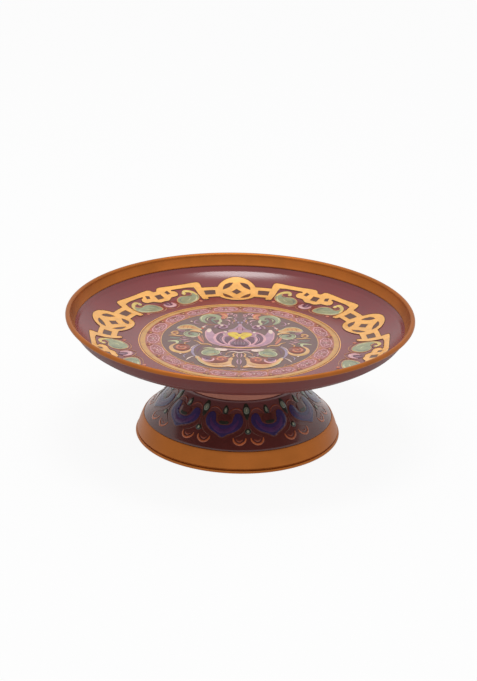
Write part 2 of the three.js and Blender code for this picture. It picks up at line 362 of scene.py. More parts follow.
def curve_mesh(data):
    """Turns a curve into a mesh and removes the curve."""
    holder = bpy.data.objects.new("outline", data)
    bpy.context.scene.collection.objects.link(holder)
    graph = bpy.context.evaluated_depsgraph_get()
    mesh = bpy.data.meshes.new_from_object(holder.evaluated_get(graph))
    bpy.data.objects.remove(holder)
    bpy.data.curves.remove(data)
    bm = bmesh.new()
    bm.from_mesh(mesh)
    bpy.data.meshes.remove(mesh)
    bmesh.ops.remove_doubles(bm, verts=bm.verts, dist=1e-4)
    return bm


def add_spline(data, points, smooth, closed, widths=None):
    """Adds a line to a curve, bent through its points or straight between them."""
    spline = data.splines.new("BEZIER" if smooth else "POLY")
    targets = spline.bezier_points if smooth else spline.points
    targets.add(len(points) - 1)
    for i, (x, y) in enumerate(points):
        targets[i].co = (x, y, 0) if smooth else (x, y, 0, 1)
        targets[i].radius = widths[i] if widths else 1
        if smooth:
            targets[i].handle_left_type = targets[i].handle_right_type = "AUTO"
    if smooth:
        spline.resolution_u = 5
    spline.use_cyclic_u = closed


def filled(loops, height, smooth=True, edge=0.08):
    """A thin plate with eased edges inside closed outlines; a loop within another is a hole.
    A negative edge spreads the plate past its outlines."""
    data = bpy.data.curves.new("outline", "CURVE")
    data.dimensions = "2D"
    data.fill_mode = "BOTH"
    for points in loops:
        add_spline(data, points, smooth, True)
    data.extrude = max(height / 2 - edge, 0.01)
    data.bevel_depth = edge
    data.bevel_resolution = 1
    data.offset = -edge
    bm = curve_mesh(data)
    bmesh.ops.translate(bm, verts=bm.verts, vec=(0, 0, height / 2 - SUNK))
    return bm


def stroke(points, widths, height, smooth=True, closed=False):
    """A rounded raised line, of one width or of a width given at each point."""
    widths = widths if isinstance(widths, list) else [widths] * len(points)
    data = bpy.data.curves.new("outline", "CURVE")
    data.dimensions = "3D"
    data.bevel_depth = 0.5
    data.bevel_resolution = 1
    data.use_fill_caps = True
    add_spline(data, points, smooth, closed, widths)
    bm = curve_mesh(data)
    widest = max(widths)
    bmesh.ops.scale(bm, verts=bm.verts, vec=(1, 1, 2 * height / widest))
    return bm


def dot(x, y, radius, height, stretch=1.0):
    """A low round pearl, drawn out in y where stretch is over 1."""
    bm = bmesh.new()
    bmesh.ops.create_uvsphere(bm, u_segments=14, v_segments=8, radius=1)
    bmesh.ops.scale(bm, verts=bm.verts, vec=(radius, radius * stretch, height))
    bmesh.ops.translate(bm, verts=bm.verts, vec=(x, y, 0))
    return bm


def spiral(centre, radius, start, turns, steps=14, shrink=0.8):
    """Points that wind inward from a radius; a negative number of turns winds the other way."""
    points = []
    for i in range(steps + 1):
        t = i / steps
        size = radius * (1 - shrink * t)
        angle = radians(start + 360 * turns * t)
        points.append((centre[0] + size * cos(angle), centre[1] + size * sin(angle)))
    return points


def ellipse(centre, across, along, steps=12):
    return [(centre[0] + across * cos(2 * pi * i / steps), centre[1] + along * sin(2 * pi * i / steps))
            for i in range(steps)]


def merge_into(target, source):
    """Adds one bmesh to another and frees it."""
    mesh = bpy.data.meshes.new("part")
    source.to_mesh(mesh)
    source.free()
    target.from_mesh(mesh)
    bpy.data.meshes.remove(mesh)


def gather(parts):
    bm = bmesh.new()
    for part in parts:
        merge_into(bm, part)
    return bm


def mirrored(bm):
    """The shape and its mirror image in X."""
    copy = bm.copy()
    bmesh.ops.scale(copy, verts=copy.verts, vec=(-1, 1, 1))
    bmesh.ops.reverse_faces(copy, faces=copy.faces)
    merge_into(bm, copy)
    return bm


def repeated(bm, count, turn=0.0):
    """Copies the shape round the axis."""
    whole = bmesh.new()
    for k in range(count):
        copy = bm.copy()
        bmesh.ops.rotate(copy, verts=copy.verts, cent=(0, 0, 0),
                         matrix=Matrix.Rotation(turn + 2 * pi * k / count, 3, "Z"))
        merge_into(whole, copy)
    bm.free()
    return whole


def diced(bm, size):
    """Cuts the shape along a square grid, so that it can follow a curved surface."""
    for axis in (0, 1):
        values = [v.co[axis] for v in bm.verts]
        first = math.ceil(min(values) / size)
        last = math.floor(max(values) / size)
        normal = (1, 0, 0) if axis == 0 else (0, 1, 0)
        for k in range(first, last + 1):
            at = k * size + GRID_SHIFT
            place = (at, 0, 0) if axis == 0 else (0, at, 0)
            bmesh.ops.bisect_plane(bm, geom=bm.verts[:] + bm.edges[:] + bm.faces[:],
                                   dist=1e-5, plane_co=place, plane_no=normal)
    return bm


def lay_in_dish(bm, form, lift=0.0):
    """Drops a plan shape onto the floor of the dish."""
    for vert in bm.verts:
        vert.co.z += form.height_at(math.hypot(vert.co.x, vert.co.y)) + lift
    return bm


def wrap_on_foot(bm, form, turn):
    """Wraps a flat shape round the bell: x runs round it at WRAP_RADIUS and y up from the band."""
    for vert in bm.verts:
        angle = vert.co.x / WRAP_RADIUS + turn
        radius, height = form.at(form.length - vert.co.y, vert.co.z)
        vert.co = (radius * cos(angle), radius * sin(angle), height)
    return bm


def across(half):
    """A half outline and its mirror image in X, joined where the half meets the middle."""
    return half + [(-x, y) for x, y in reversed(half) if abs(x) > 1e-6]


class Inlay:
    """Thin enamel shapes gathered by tone; each level lies a little higher than the one below it."""

    thickness = 0.2
    pearl_height = 0.35
    first_lift = 0.05
    level_lift = 0.06

    def __init__(self):
        self.parts = {}

    def add(self, tone, bm, level):
        bmesh.ops.translate(bm, verts=bm.verts, vec=(0, 0, self.first_lift + self.level_lift * level))
        self.parts.setdefault(tone, []).append(bm)

    def fill(self, tone, points, level=0):
        self.add(tone, filled([points], self.thickness), level)

    def line(self, tone, points, width, level=1):
        """A raised line: one width swells from thin ends, and a list gives it at each point."""
        widths = width if isinstance(width, list) else taper(width, len(points))
        self.add(tone, stroke(points, widths, self.thickness), level)

    def curl(self, tone, centre, radius, start, turns, width, level=1, steps=14):
        """A line of even width that winds inward."""
        self.add(tone, stroke(spiral(centre, radius, start, turns, steps), width, self.thickness), level)

    def arch(self, tone, half, widths, level=1):
        """A line over the middle, given as its left half."""
        self.line(tone, across(half), widths + widths[-2::-1], level)

    def leaf(self, tone, rim, points, level=0, width=0.9):
        self.fill(tone, points, level)
        self.add(rim, stroke(points, width, self.thickness, closed=True), level + 1)

    def pearl(self, tone, x, y, radius, level=1, stretch=1.0):
        self.add(tone, dot(x, y, radius, self.pearl_height, stretch), level)

    def lay(self, group, colours, shape):
        """Makes one piece of each tone, after the given function has put it in its place."""
        for tone, parts in self.parts.items():
            piece = finish_mesh(group + "_" + tone, shape(gather(parts)))
            settle(piece, enamel_material("enamel_" + tone, getattr(colours, tone)), "lacquer")


def taper(widest, count, ends=0.35):
    """Widths that swell from thin ends to a thick middle."""
    return [widest * (ends + (1 - ends) * sin(pi * i / (count - 1))) for i in range(count)]


# Shader graphs

class Value:
    """A shader socket that can stand in a sum."""

    def __init__(self, graph, socket):
        self.graph = graph
        self.socket = socket

    def _math(self, operation, first, second):
        node = self.graph.node("ShaderNodeMath", {"operation": operation}, {0: first, 1: second})
        return Value(self.graph, node.outputs[0])

    def __add__(self, other):
        return self._math("ADD", self, other)

    def __radd__(self, other):
        return self._math("ADD", other, self)

    def __sub__(self, other):
        return self._math("SUBTRACT", self, other)

    def __rsub__(self, other):
        return self._math("SUBTRACT", other, self)

    def __mul__(self, other):
        return self._math("MULTIPLY", self, other)

    def __rmul__(self, other):
        return self._math("MULTIPLY", other, self)

    def __truediv__(self, other):
        return self._math("DIVIDE", self, other)

    def __rtruediv__(self, other):
        return self._math("DIVIDE", other, self)

    def __pow__(self, other):
        return self._math("POWER", self, other)

    def __rpow__(self, other):
        return self._math("POWER", other, self)


class Graph:
    """The node tree of one material or of the world."""

    def __init__(self, tree):
        self.tree = tree
        tree.nodes.clear()

    def node(self, kind, settings=None, inputs=None):
        node = self.tree.nodes.new(kind)
        for key, value in (settings or {}).items():
            setattr(node, key, value)
        for key, value in (inputs or {}).items():
            if isinstance(value, Value):
                self.tree.links.new(value.socket, node.inputs[key])
            elif isinstance(value, bpy.types.NodeSocket):
                self.tree.links.new(value, node.inputs[key])
            else:
                node.inputs[key].default_value = value
        return node

    def place(self):
        """The piece's own coordinates."""
        return self.node("ShaderNodeTexCoord").outputs["Object"]

    def noise(self, vector, scale, detail=3.0, roughness=0.55, distortion=0.0):
        node = self.node("ShaderNodeTexNoise", {}, {
            "Vector": vector, "Scale": scale, "Detail": detail, "Roughness": roughness,
            "Distortion": distortion})
        return Value(self, node.outputs["Fac"])

    def band(self, value, low, high):
        """Rises from 0 to 1 between two levels."""
        node = self.node("ShaderNodeMapRange", {"clamp": True}, {
            "Value": value, "From Min": low, "From Max": high, "To Min": 0.0, "To Max": 1.0})
        return Value(self, node.outputs["Result"])

    def blend(self, factor, first, second):
        node = self.node("ShaderNodeMix", {"data_type": "RGBA"}, {0: factor, 6: first, 7: second})
        return node.outputs[2]

    def turned_place(self, vector, across):
        """Coordinates that run out from the axis and up, for marks left by spinning."""
        parts = self.node("ShaderNodeSeparateXYZ", {}, {0: vector})
        x, y, z = (Value(self, parts.outputs[k]) for k in range(3))
        out = (x * x + y * y) ** 0.5
        joined = self.node("ShaderNodeCombineXYZ", {}, {0: out * across, 1: z * across, 2: x * 3.0})
        return joined.outputs[0]

    def bump(self, height, strength, distance):
        node = self.node("ShaderNodeBump", {}, {
            "Height": height, "Strength": strength, "Distance": distance})
        return node.outputs["Normal"]

    def seen_rays(self):
        """1 for the rays that show a surface to the camera: straight, mirrored or through glass."""
        path = self.node("ShaderNodeLightPath")
        camera, glossy, through = (Value(self, path.outputs[kind]) for kind in (
            "Is Camera Ray", "Is Glossy Ray", "Is Transmission Ray"))
        return camera + glossy + through

    def surface(self, inputs):
        shader = self.node("ShaderNodeBsdfPrincipled", {}, inputs)
        self.node("ShaderNodeOutputMaterial", {}, {"Surface": shader.outputs[0]})


def shade(base, factor):
    return tuple(min(channel * factor, 1.0) for channel in base[:3]) + (1.0,)


def new_material(name):
    material = bpy.data.materials.get(name) or bpy.data.materials.new(name)
    material.use_nodes = True
    return material, Graph(material.node_tree)


def lacquer_material(name, base, coat=1.0, coat_roughness=0.16, painted_reflection=None, sheen=0.0):
    """Deep gloss lacquer: cloudy colour, fine dust and faint polishing marks under a clear coat.
    It can blend to a paler colour between two heights as painted reflection, and carry a warm dusty sheen."""
    material, graph = new_material(name)
    place = graph.place()
    cloud = graph.band(graph.noise(place, 28.0, 4.0), 0.3, 0.7)
    speck = graph.band(graph.noise(place, 900.0, 2.0), 0.62, 0.72)
    marks = graph.noise(graph.turned_place(place, 700.0), 1.0, 3.0)
    body = graph.blend(cloud, shade(base, 0.86), shade(base, 1.12))
    # Painted reflection: between the two heights the body colour is blended part way to a paler tint.
    if painted_reflection:
        low, high, reflection_tint = painted_reflection
        height = Value(graph, graph.node("ShaderNodeSeparateXYZ", {}, {0: place}).outputs[2])
        body = graph.blend(graph.band(height, low, high) * 0.6, body, reflection_tint)
    dusted = graph.blend(speck * 0.1, body, shade(base, 1.9))
    peel = graph.noise(place, 260.0, 2.0)
    graph.surface({
        "Base Color": dusted,
        "Roughness": 0.5 + 0.2 * cloud,
        "Metallic": 0.0,
        "Specular IOR Level": 0.1,
        "Coat Weight": coat - 0.1 * marks,
        "Coat Roughness": coat_roughness,
        "Sheen Weight": sheen,
        "Sheen Roughness": 0.4,
        "Sheen Tint": linear(226, 132, 106),
        "Normal": graph.bump(peel + 0.15 * marks, 0.08, 0.0002),
    })
    return material


def gilt_material(name, base, roughness):
    """Satin gilding with spinning marks, worn warm and dark in patches."""
    material, graph = new_material(name)
    place = graph.place()
    cloud = graph.band(graph.noise(place, 45.0, 4.0), 0.32, 0.7)
    rub = graph.noise(graph.turned_place(place, 1400.0), 1.0, 4.0)
    body = graph.blend(cloud, shade(base, 0.86), shade(base, 1.08))
    worn = graph.blend(graph.band(rub, 0.58, 0.75) * 0.3, body, shade(base, 0.65))
    graph.surface({
        "Base Color": worn,
        "Metallic": 1.0,
        "Roughness": roughness + 0.12 * rub + 0.08 * cloud,
        "Normal": graph.bump(rub + 0.4 * graph.noise(place, 1800.0), 0.08, 0.0001),
    })
    return material


def enamel_material(name, base, metallic=0.0, mottle=0.24):
    """Painted enamel: mottled colour with a darker grain under a soft gloss."""
    material, graph = new_material(name)
    place = graph.place()
    cloud = graph.band(graph.noise(place, 150.0, 3.0), 0.3, 0.7)
    grain = graph.noise(place, 1500.0, 2.0)
    body = graph.blend(cloud, shade(base, 1 - mottle), shade(base, 1 + mottle * 0.7))
    specked = graph.blend(graph.band(grain, 0.5, 0.75) * 0.2, body, shade(base, 0.66))
    graph.surface({
        "Base Color": specked,
        "Metallic": metallic,
        "Roughness": 0.42 + 0.2 * grain,
        "Specular IOR Level": 0.15,
        "Coat Weight": 0.85 - 0.2 * cloud,
        "Coat Roughness": 0.2,
        "Normal": graph.bump(grain + 0.5 * cloud, 0.1, 0.00012),
    })
    return material


def steel_material():
    """Zinc-plated steel, cloudy and lightly scratched."""
    material, graph = new_material("zinc_steel")
    place = graph.place()
    cloud = graph.band(graph.noise(place, 160.0, 4.0, 0.6, 1.2), 0.3, 0.7)
    rub = graph.noise(graph.turned_place(place, 1800.0), 1.0, 3.0)
    graph.surface({
        "Base Color": graph.blend(cloud, linear(150, 152, 152), linear(196, 192, 180)),
        "Metallic": 1.0,
        "Roughness": 0.28 + 0.2 * rub + 0.1 * cloud,
        "Normal": graph.bump(rub, 0.12, 0.0001),
    })
    return material


def felt_material():
    """Pressed felt: matted fibres with a dusty sheen."""
    material, graph = new_material("felt_brown")
    place = graph.place()
    fibre = graph.noise(place, 1500.0, 6.0, 0.7, 2.5)
    tuft = graph.noise(place, 260.0, 3.0)
    graph.surface({
        "Base Color": graph.blend(graph.band(fibre, 0.35, 0.65), linear(34, 20, 15), linear(66, 44, 34)),
        "Roughness": 0.85 + 0.15 * tuft,
        "Sheen Weight": 0.3,
        "Sheen Roughness": 0.5,
        "Normal": graph.bump(fibre + 0.6 * tuft, 0.6, 0.0004),
    })
    return material


def settle(piece, material, slot, *nodes):
    """Gives a piece its material and its body, and hides the CAD nodes that it stands for; the slot is not
    used.
    """
    piece.data.materials.clear()
    piece.data.materials.append(material)
    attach(piece, "root")
    if nodes:
        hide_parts(*nodes)
    return piece


def turned_piece(name, outline, sizes, material, slot, *nodes, closed=True):
    """Spins an outline into a finished piece."""
    return settle(finish_mesh(name, turned(outline, sizes.turn_steps, closed)), material, slot, *nodes)


def settings(context):
    scene = context.scene
    return scene.plate_sizes, scene.plate_ornament, scene.plate_colours


# The turned pieces

class PLATE_OT_dish(bpy.types.Operator):
    """Spin the lacquered dish with its flat floor, bowl, shoulder and leaning wall"""
    bl_idname = "plate.dish"
    bl_label = "Dish"

    def execute(self, context):
        sizes, _, colours = settings(context)
        form = DishForm(sizes)
        floor_rings = (0, 30, 60)
        inside = [(r, form.floor) for r in floor_rings] + form.skin(0)
        outside = [(r, form.floor - form.sheet) for r in floor_rings] + form.skin(form.sheet)
        lacquer = lacquer_material("maroon_lacquer", colours.lacquer, 1.0, 0.21)
        dish = turned_piece("dish_pan", inside + outside[::-1], sizes, lacquer, "lacquer", "dish",
                            closed=False)
        # The downward faces get the satin outside lacquer, darker than the inside: painted shade under the
        # dish.
        dish.data.materials.append(lacquer_material("satin_maroon_back", colours.painted_shade_back_lacquer, 0.25, 0.3))
        for face in dish.data.polygons:
            faces_down = face.normal.z < -0.01
            face.material_index = 1 if faces_down else 0
        return {"FINISHED"}


class PLATE_OT_rim(bpy.types.Operator):
    """Spin the gilt rim ring with its rolled lip and the hemmed liner inside it"""
    bl_idname = "plate.rim"
    bl_label = "Rim ring"

    def execute(self, context):
        sizes, _, colours = settings(context)
        form = DishForm(sizes)
        middle = (form.lip - form.bead, form.top - form.bead)
        inner = form.lip - 2 * form.bead
        gap = CLEARANCE / cos(form.lean)
        toe_z = middle[1] - LINER_HEIGHT
        toe_r = form.wall_radius(toe_z) - gap
        angle = math.atan2(LINER_HEIGHT, inner - toe_r)
        hem = (toe_r + HEM_RADIUS * cos(angle), toe_z + HEM_RADIUS * sin(angle))
        seat_z = toe_z + LINER_SEAT
        ledge_z = middle[1] - LEDGE_DROP
        ledge_r = inner - LEDGE_DROP / math.tan(angle) + LINER_THICKNESS
        start = math.degrees(math.asin(LEDGE_DROP / form.bead))
        swell, hem_lead = 0.25, (-0.42, 0.5)
        halfway = ((inner + toe_r) / 2 + swell, (middle[1] + toe_z) / 2)
        liner = bend((inner, middle[1]), halfway, (hem[0] + hem_lead[0], hem[1] + hem_lead[1]), 8)[1:]
        bead = arc(middle, form.bead, -start, 0, 6) + arc(middle, form.bead, 0, 180, 24)[1:]
        hem_roll = arc(hem, HEM_RADIUS, math.degrees(angle) + 180, math.degrees(angle), 10)
        seat = [(form.wall_radius(seat_z) - gap, seat_z), (ledge_r, ledge_z)]
        gilt = gilt_material("copper_gilt", colours.gilt, 0.38)
        turned_piece("rim_rolled", bead + liner + hem_roll + seat, sizes, gilt, "gilt", "rim_ring")
        return {"FINISHED"}


class PLATE_OT_neck(bpy.types.Operator):
    """Spin the neck cup between the dish and the foot"""
    bl_idname = "plate.neck"
    bl_label = "Neck cup"

    def execute(self, context):
        sizes, _, colours = settings(context)
        dish, foot = DishForm(sizes), FootForm(sizes)
        low, high = foot.top + CLEARANCE, dish.floor - dish.sheet - CLEARANCE
        corner_z = low + WAIST_CORNER
        brim = 0.4
        seat_r = CUP_TOP_RADIUS - CUP_SEAT_WIDTH

        def flare(offset):
            return bend((foot.waist, corner_z), (foot.waist + CUP_SWELL, (low + high) / 2),
                        (CUP_TOP_RADIUS, high - foot.sheet), 24, offset)

        outside = arc((foot.waist - WAIST_CORNER, corner_z), WAIST_CORNER, -90, 0, 5)[:-1] + flare(0)
        top = arc((CUP_TOP_RADIUS - brim, high - brim), brim, 0, 90, 4)
        top += [(seat_r, high), (seat_r, high - foot.sheet)]
        inside = flare(foot.sheet)[::-1][1:]
        inside.append((foot.waist - WAIST_CORNER - foot.sheet, low + foot.sheet))
        inside += [(HOLE_RADIUS, low + foot.sheet), (HOLE_RADIUS, low)]
        lacquer = lacquer_material("neck_lacquer_brown", colours.neck, 0.5, 0.25)
        turned_piece("neck_spun", outside + top + inside, sizes, lacquer, "neck_lacquer", "neck_cup")
        return {"FINISHED"}


class PLATE_OT_foot(bpy.types.Operator):
    """Spin the bell-shaped foot shell"""
    bl_idname = "plate.foot"
    bl_label = "Foot shell"

    def execute(self, context):
        sizes, _, colours = settings(context)
        foot = FootForm(sizes)
        hem_z = PAD_THICKNESS + FLANGE_SHEET + 2 * CLEARANCE
        under_z = foot.top - foot.sheet
        outside = arc((foot.waist - WAIST_CORNER, foot.top - WAIST_CORNER), WAIST_CORNER, 90, 0, 5)[:-1]
        outside += foot.flank(0) + [(SHELL_HEM_RADIUS, hem_z), (SHELL_HEM_RADIUS - foot.sheet, hem_z)]
        inside = foot.flank(-foot.sheet)[::-1] + [(foot.waist - WAIST_CORNER - foot.sheet, under_z)]
        inside += [(HOLE_RADIUS, under_z), (HOLE_RADIUS, foot.top)]
        # Painted reflection: the foot's lacquer turns part way to the waist colour over the top two fifths
        # of its height.
        waist_reflection = (sizes.foot_top * 0.6, sizes.foot_top, colours.waist)
        lacquer = lacquer_material("dark_lacquer", colours.foot_lacquer, painted_reflection=waist_reflection, sheen=0.35)
        turned_piece("foot_bell", outside + inside, sizes, lacquer, "lacquer", "foot_shell")
        return {"FINISHED"}


class PLATE_OT_band(bpy.types.Operator):
    """Spin the gilt foot band with its groove, rolled bead and inward flange, and the felt ring under it"""
    bl_idname = "plate.band"
    bl_label = "Foot band and felt"

    def execute(self, context):
        sizes, _, colours = settings(context)
        foot = FootForm(sizes)
        bead = (foot.radius - BASE_BEAD_RADIUS, BASE_BEAD_LIFT + BASE_BEAD_RADIUS)
        inner_r = bead[0] - FLANGE_WIDTH
        under_z = PAD_THICKNESS + CLEARANCE
        over_z = under_z + FLANGE_SHEET
        face, top = BAND_FOOT_RADIUS, foot.band
        flange_angle, groove_angle = -157.4, 84
        roll = arc(bead, BASE_BEAD_RADIUS, flange_angle, 0, 14)
        roll += arc(bead, BASE_BEAD_RADIUS, 0, groove_angle, 8)[1:]
        groove = [(face - 0.45, 3.25), (face - 0.5, 3.45), (face - 0.46, 3.7), (face - 0.12, 3.95),
                  (face + 0.02, 4.15)]
        cheek = bend((face, 4.4), (74.3, 9.8), (BAND_TOP_RADIUS, top - 1.1), 12)
        brow = [(71.4, top - 0.3), (71.15, top - 0.05), (BAND_TOP_RADIUS - BAND_SHEET, top)]
        back = [(face - BAND_SHEET, over_z), (inner_r, over_z)]
        outline = [(inner_r, under_z)] + roll + groove + cheek + brow + back
        # The band's gilt is the rim's gilt made a little darker: painted shade under the dish.
        gilt = gilt_material("band_gilt", shade(colours.gilt, 0.92), 0.34)
        turned_piece("band_rolled", outline, sizes, gilt, "gilt", "foot_band")
        outer_r = inner_r + PAD_WIDTH
        pad = rounded([(inner_r, 0, 0.35), (outer_r, 0, 0.35), (outer_r, PAD_THICKNESS, 0.2),
                       (inner_r, PAD_THICKNESS, 0.2)])
        turned_piece("felt_ring", pad, sizes, felt_material(), "felt", "base_pad")
        return {"FINISHED"}


HARDWARE = ("stud_plate", "centre_stud", "spreader_plate", "flat_washer", "spring_washer", "hex_nut")


class PLATE_OT_hardware(bpy.types.Operator):
    """Finish the steel stud, plates, washers and nut"""
    bl_idname = "plate.hardware"
    bl_label = "Stud and nut"

    def execute(self, context):
        steel = steel_material()
        for name in HARDWARE:
            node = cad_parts[name]
            node.data.materials.clear()
            node.data.materials.append(steel)
        return {"FINISHED"}


# The well's ornament

def fret_loops(repeats):
    """The outer edge, the inner edge and the holes of the gold fret, as closed plan outlines."""
    middle, coin_radius, bar = 99.7, 16, 111.6
    outer = arc((0, middle), coin_radius, 90, 20, 10)
    outer += [polar(a, 106.3) for a in (9.5, 11, 12.5, 14, 15.0)]
    outer += [polar(15.1, 108.6), polar(15.25, 110.6), polar(15.6, 111.8), polar(16.4, 112.4)]
    outer += [polar(a, bar / cos(radians(a - 24.6))) for a in (19, 21.8, 24.6, 27.4, 30.2)]
    outer += [
        polar(33.2, 112.4), polar(34.3, 111.8), polar(34.8, 110.6), polar(35.2, 109.6), polar(36, 109.3)]
    inner = arc((0, middle), coin_radius, -90, -33, 8)
    inner += [polar(a, 92) for a in (9.6, 11, 12.5, 14.3)]
    inner += [polar(14.2, 89.6), polar(14.6, 88.2), polar(15.8, 87.7), polar(17.0, 88.2), polar(17.3, 89.6)]
    inner += [polar(17.5, 94), polar(17.8, 99), polar(18.0, 104), polar(18.4, 107.2)]
    inner += [
        polar(21, 107.8), polar(24, 107.7), polar(26.6, 107.7), (51.3, 94.7), (51.6, 93.9), (50.9, 93.7),
        (49.4, 94.2), (47.6, 93.6), (46.2, 92.2), (45.9, 90.2), (46.8, 88.2), (48.7, 86.8), (51.2, 85.0),
        (52.2, 81.4), (53.2, 79.4), polar(36, 96.0)]

    def turned_on(points, k):
        spin = Matrix.Rotation(-2 * pi * k / repeats, 2)
        return [tuple(spin @ Vector(point)) for point in points]

    def all_round(side):
        both = [(-x, y) for x, y in reversed(side[1:])] + side[:-1]
        return [point for k in range(repeats) for point in turned_on(both, k)]

    def flipped(points):
        return [(-x, y) for x, y in points]

    holes = [[(0, middle + 4), (4, middle), (0, middle - 4), (-4, middle)]]
    lens = [
        (9.4, -6.0), (11.6, -3.4), (12.6, 0), (11.6, 3.4), (9.4, 6.0), (8.6, 3.2), (8.2, 0), (8.6, -3.2)]
    for corner in (45, 135, 225, 315):
        spin = Matrix.Rotation(radians(corner), 2)
        holes.append([(x, y + middle) for x, y in (spin @ Vector(point) for point in lens)])
    holes.append([polar(34.4, 105.9), polar(37.6, 105.9), polar(37.7, 100.4), polar(34.3, 100.4)])
    bar_hole = [
        polar(9.5, 102.7), polar(12, 102.9), polar(14.6, 102.7), polar(14.6, 96.6), polar(12, 96.5),
        polar(9.8, 96.6)]
    key_hole = [(52.0, 90.7), (54.9, 93.3), (56.8, 90.4), (54.2, 88.5)]
    holes += [bar_hole, flipped(bar_hole), key_hole, flipped(key_hole)]
    spun = [turned_on(hole, k) for k in range(repeats) for hole in holes]
    return [all_round(outer), all_round(inner)] + spun


class PLATE_OT_fret(bpy.types.Operator):
    """Lay the raised gold fret of coins and key brackets round the well, over a painted shadow"""
    bl_idname = "plate.fret"
    bl_label = "Gold fret"

    def execute(self, context):
        sizes, ornament, colours = settings(context)
        form = DishForm(sizes)
        loops = fret_loops(ornament.repeats)
        turn = Matrix.Rotation(ornament.turn, 3, "Z")
        grid, shadow_spread, shadow_sink = 3.2, 0.42, 0.02
        gold = diced(filled(loops, mm(ornament.relief), smooth=False, edge=0.16), grid)
        # Painted shadow: a dark sheet a little wider than the gold and sunk under it shows as a dark line
        # round the raised fret.
        edge = diced(filled(loops[:2], Inlay.thickness, smooth=False, edge=-shadow_spread), grid)
        for bm in (gold, edge):
            bmesh.ops.rotate(bm, verts=bm.verts, cent=(0, 0, 0), matrix=turn)
        settle(finish_mesh("fret_gold", lay_in_dish(gold, form)),
               enamel_material("fret_gold_work", colours.gold, 0.3, 0.12), "gilt")
        settle(finish_mesh("fret_edge", lay_in_dish(edge, form, -shadow_sink)),
               enamel_material("enamel_edge", colours.edge), "lacquer")
        return {"FINISHED"}


class PLATE_OT_clouds(bpy.types.Operator):
    """Lay the comma clouds, buds and beads inside the fret's brackets"""
    bl_idname = "plate.clouds"
    bl_label = "Clouds and buds"

    def execute(self, context):
        sizes, ornament, colours = settings(context)
        form = DishForm(sizes)
        count, turn, grid = ornament.repeats, ornament.turn, 4
        body = [
            (33.4, 79.4), (37.2, 75.6), (41.6, 74.2), (45.0, 76.6), (46.6, 80.8), (46.0, 85.0),
            (43.2, 88.6), (39.4, 89.8), (36.6, 91.6), (35.4, 94.0), (36.8, 96.0), (33.2, 96.0),
            (30.6, 93.0), (29.6, 88.4), (30.8, 83.4)]
        clouds = Inlay()
        clouds.leaf("green", "cream", body, 0, 0.7)
        clouds.line("mint", [(32.0, 91.4), (31.4, 87.2), (32.8, 82.6), (36.0, 79.0)], 1.9)
        clouds.line("mint", [(36.4, 88.0), (37.2, 83.8), (39.6, 81.0)], 1.3)
        clouds.line("jade", [(40.0, 77.4), (43.6, 79.4), (44.2, 83.4), (41.8, 86.8)], 1.7)
        clouds.line("edge", [
            (34.8, 94.0), (35.8, 91.6), (38.2, 90.4), (41.2, 90.2), (43.8, 90.6)],
            [0.4, 1.2, 1.6, 1.2, 0.3])
        clouds.line("straw", [
            (31.4, 92.2), (32.6, 94.6), (35.4, 96.3), (38.8, 96.6), (41.4, 95.6), (42.2, 93.6)],
            [0.8, 1.9, 2.6, 2.8, 2.6, 2.2], 2)
        clouds.pearl("straw", 41.6, 93.0, 1.7, 2)
        clouds.pearl("white", 42.0, 93.2, 0.8, 4)
        clouds.line("tan", [
            (29.8, 80.8), (33.0, 76.2), (37.4, 72.8), (42.0, 71.8), (46.2, 73.6), (48.8, 77.6)], 1.0)
        clouds.pearl("salmon", 28.2, 81.4, 1.5)
        clouds.pearl("salmon", 24.4, 85.4, 0.9)
        clouds.lay(
            "cloud", colours,
            lambda bm: lay_in_dish(repeated(mirrored(diced(bm, grid)), count, turn), form))
        buds = Inlay()
        buds.fill("purple", [(-2.9, 93.0), (-3.0, 89.4), (0, 87.0), (3.0, 89.4), (2.9, 93.0), (0, 94.6)], 0)
        buds.fill("pink", [
            (-3.4, 92.2), (-4.9, 88.8), (-3.6, 85.2), (0, 83.8), (3.6, 85.2), (4.9, 88.8), (3.4, 92.2),
            (2.7, 89.2), (0, 87.2), (-2.7, 89.2)], 1)
        buds.line("lilac", [(0, 88.4), (0.4, 91.0), (0, 93.6)], 1.2, 2)
        buds.line("white", [(-2.4, 86.2), (0, 85.2), (2.4, 86.2)], 1.2, 3)
        for side in (-1, 1):
            buds.line("tan", [
                (side * 6.0, 88.6), (side * 5.4, 84.2), (side * 2.2, 81.6), (side * 0.4, 80.6)], 0.9)
        between = turn + pi / count
        buds.lay("bud", colours, lambda bm: lay_in_dish(repeated(diced(bm, grid), count, between), form))
        return {"FINISHED"}


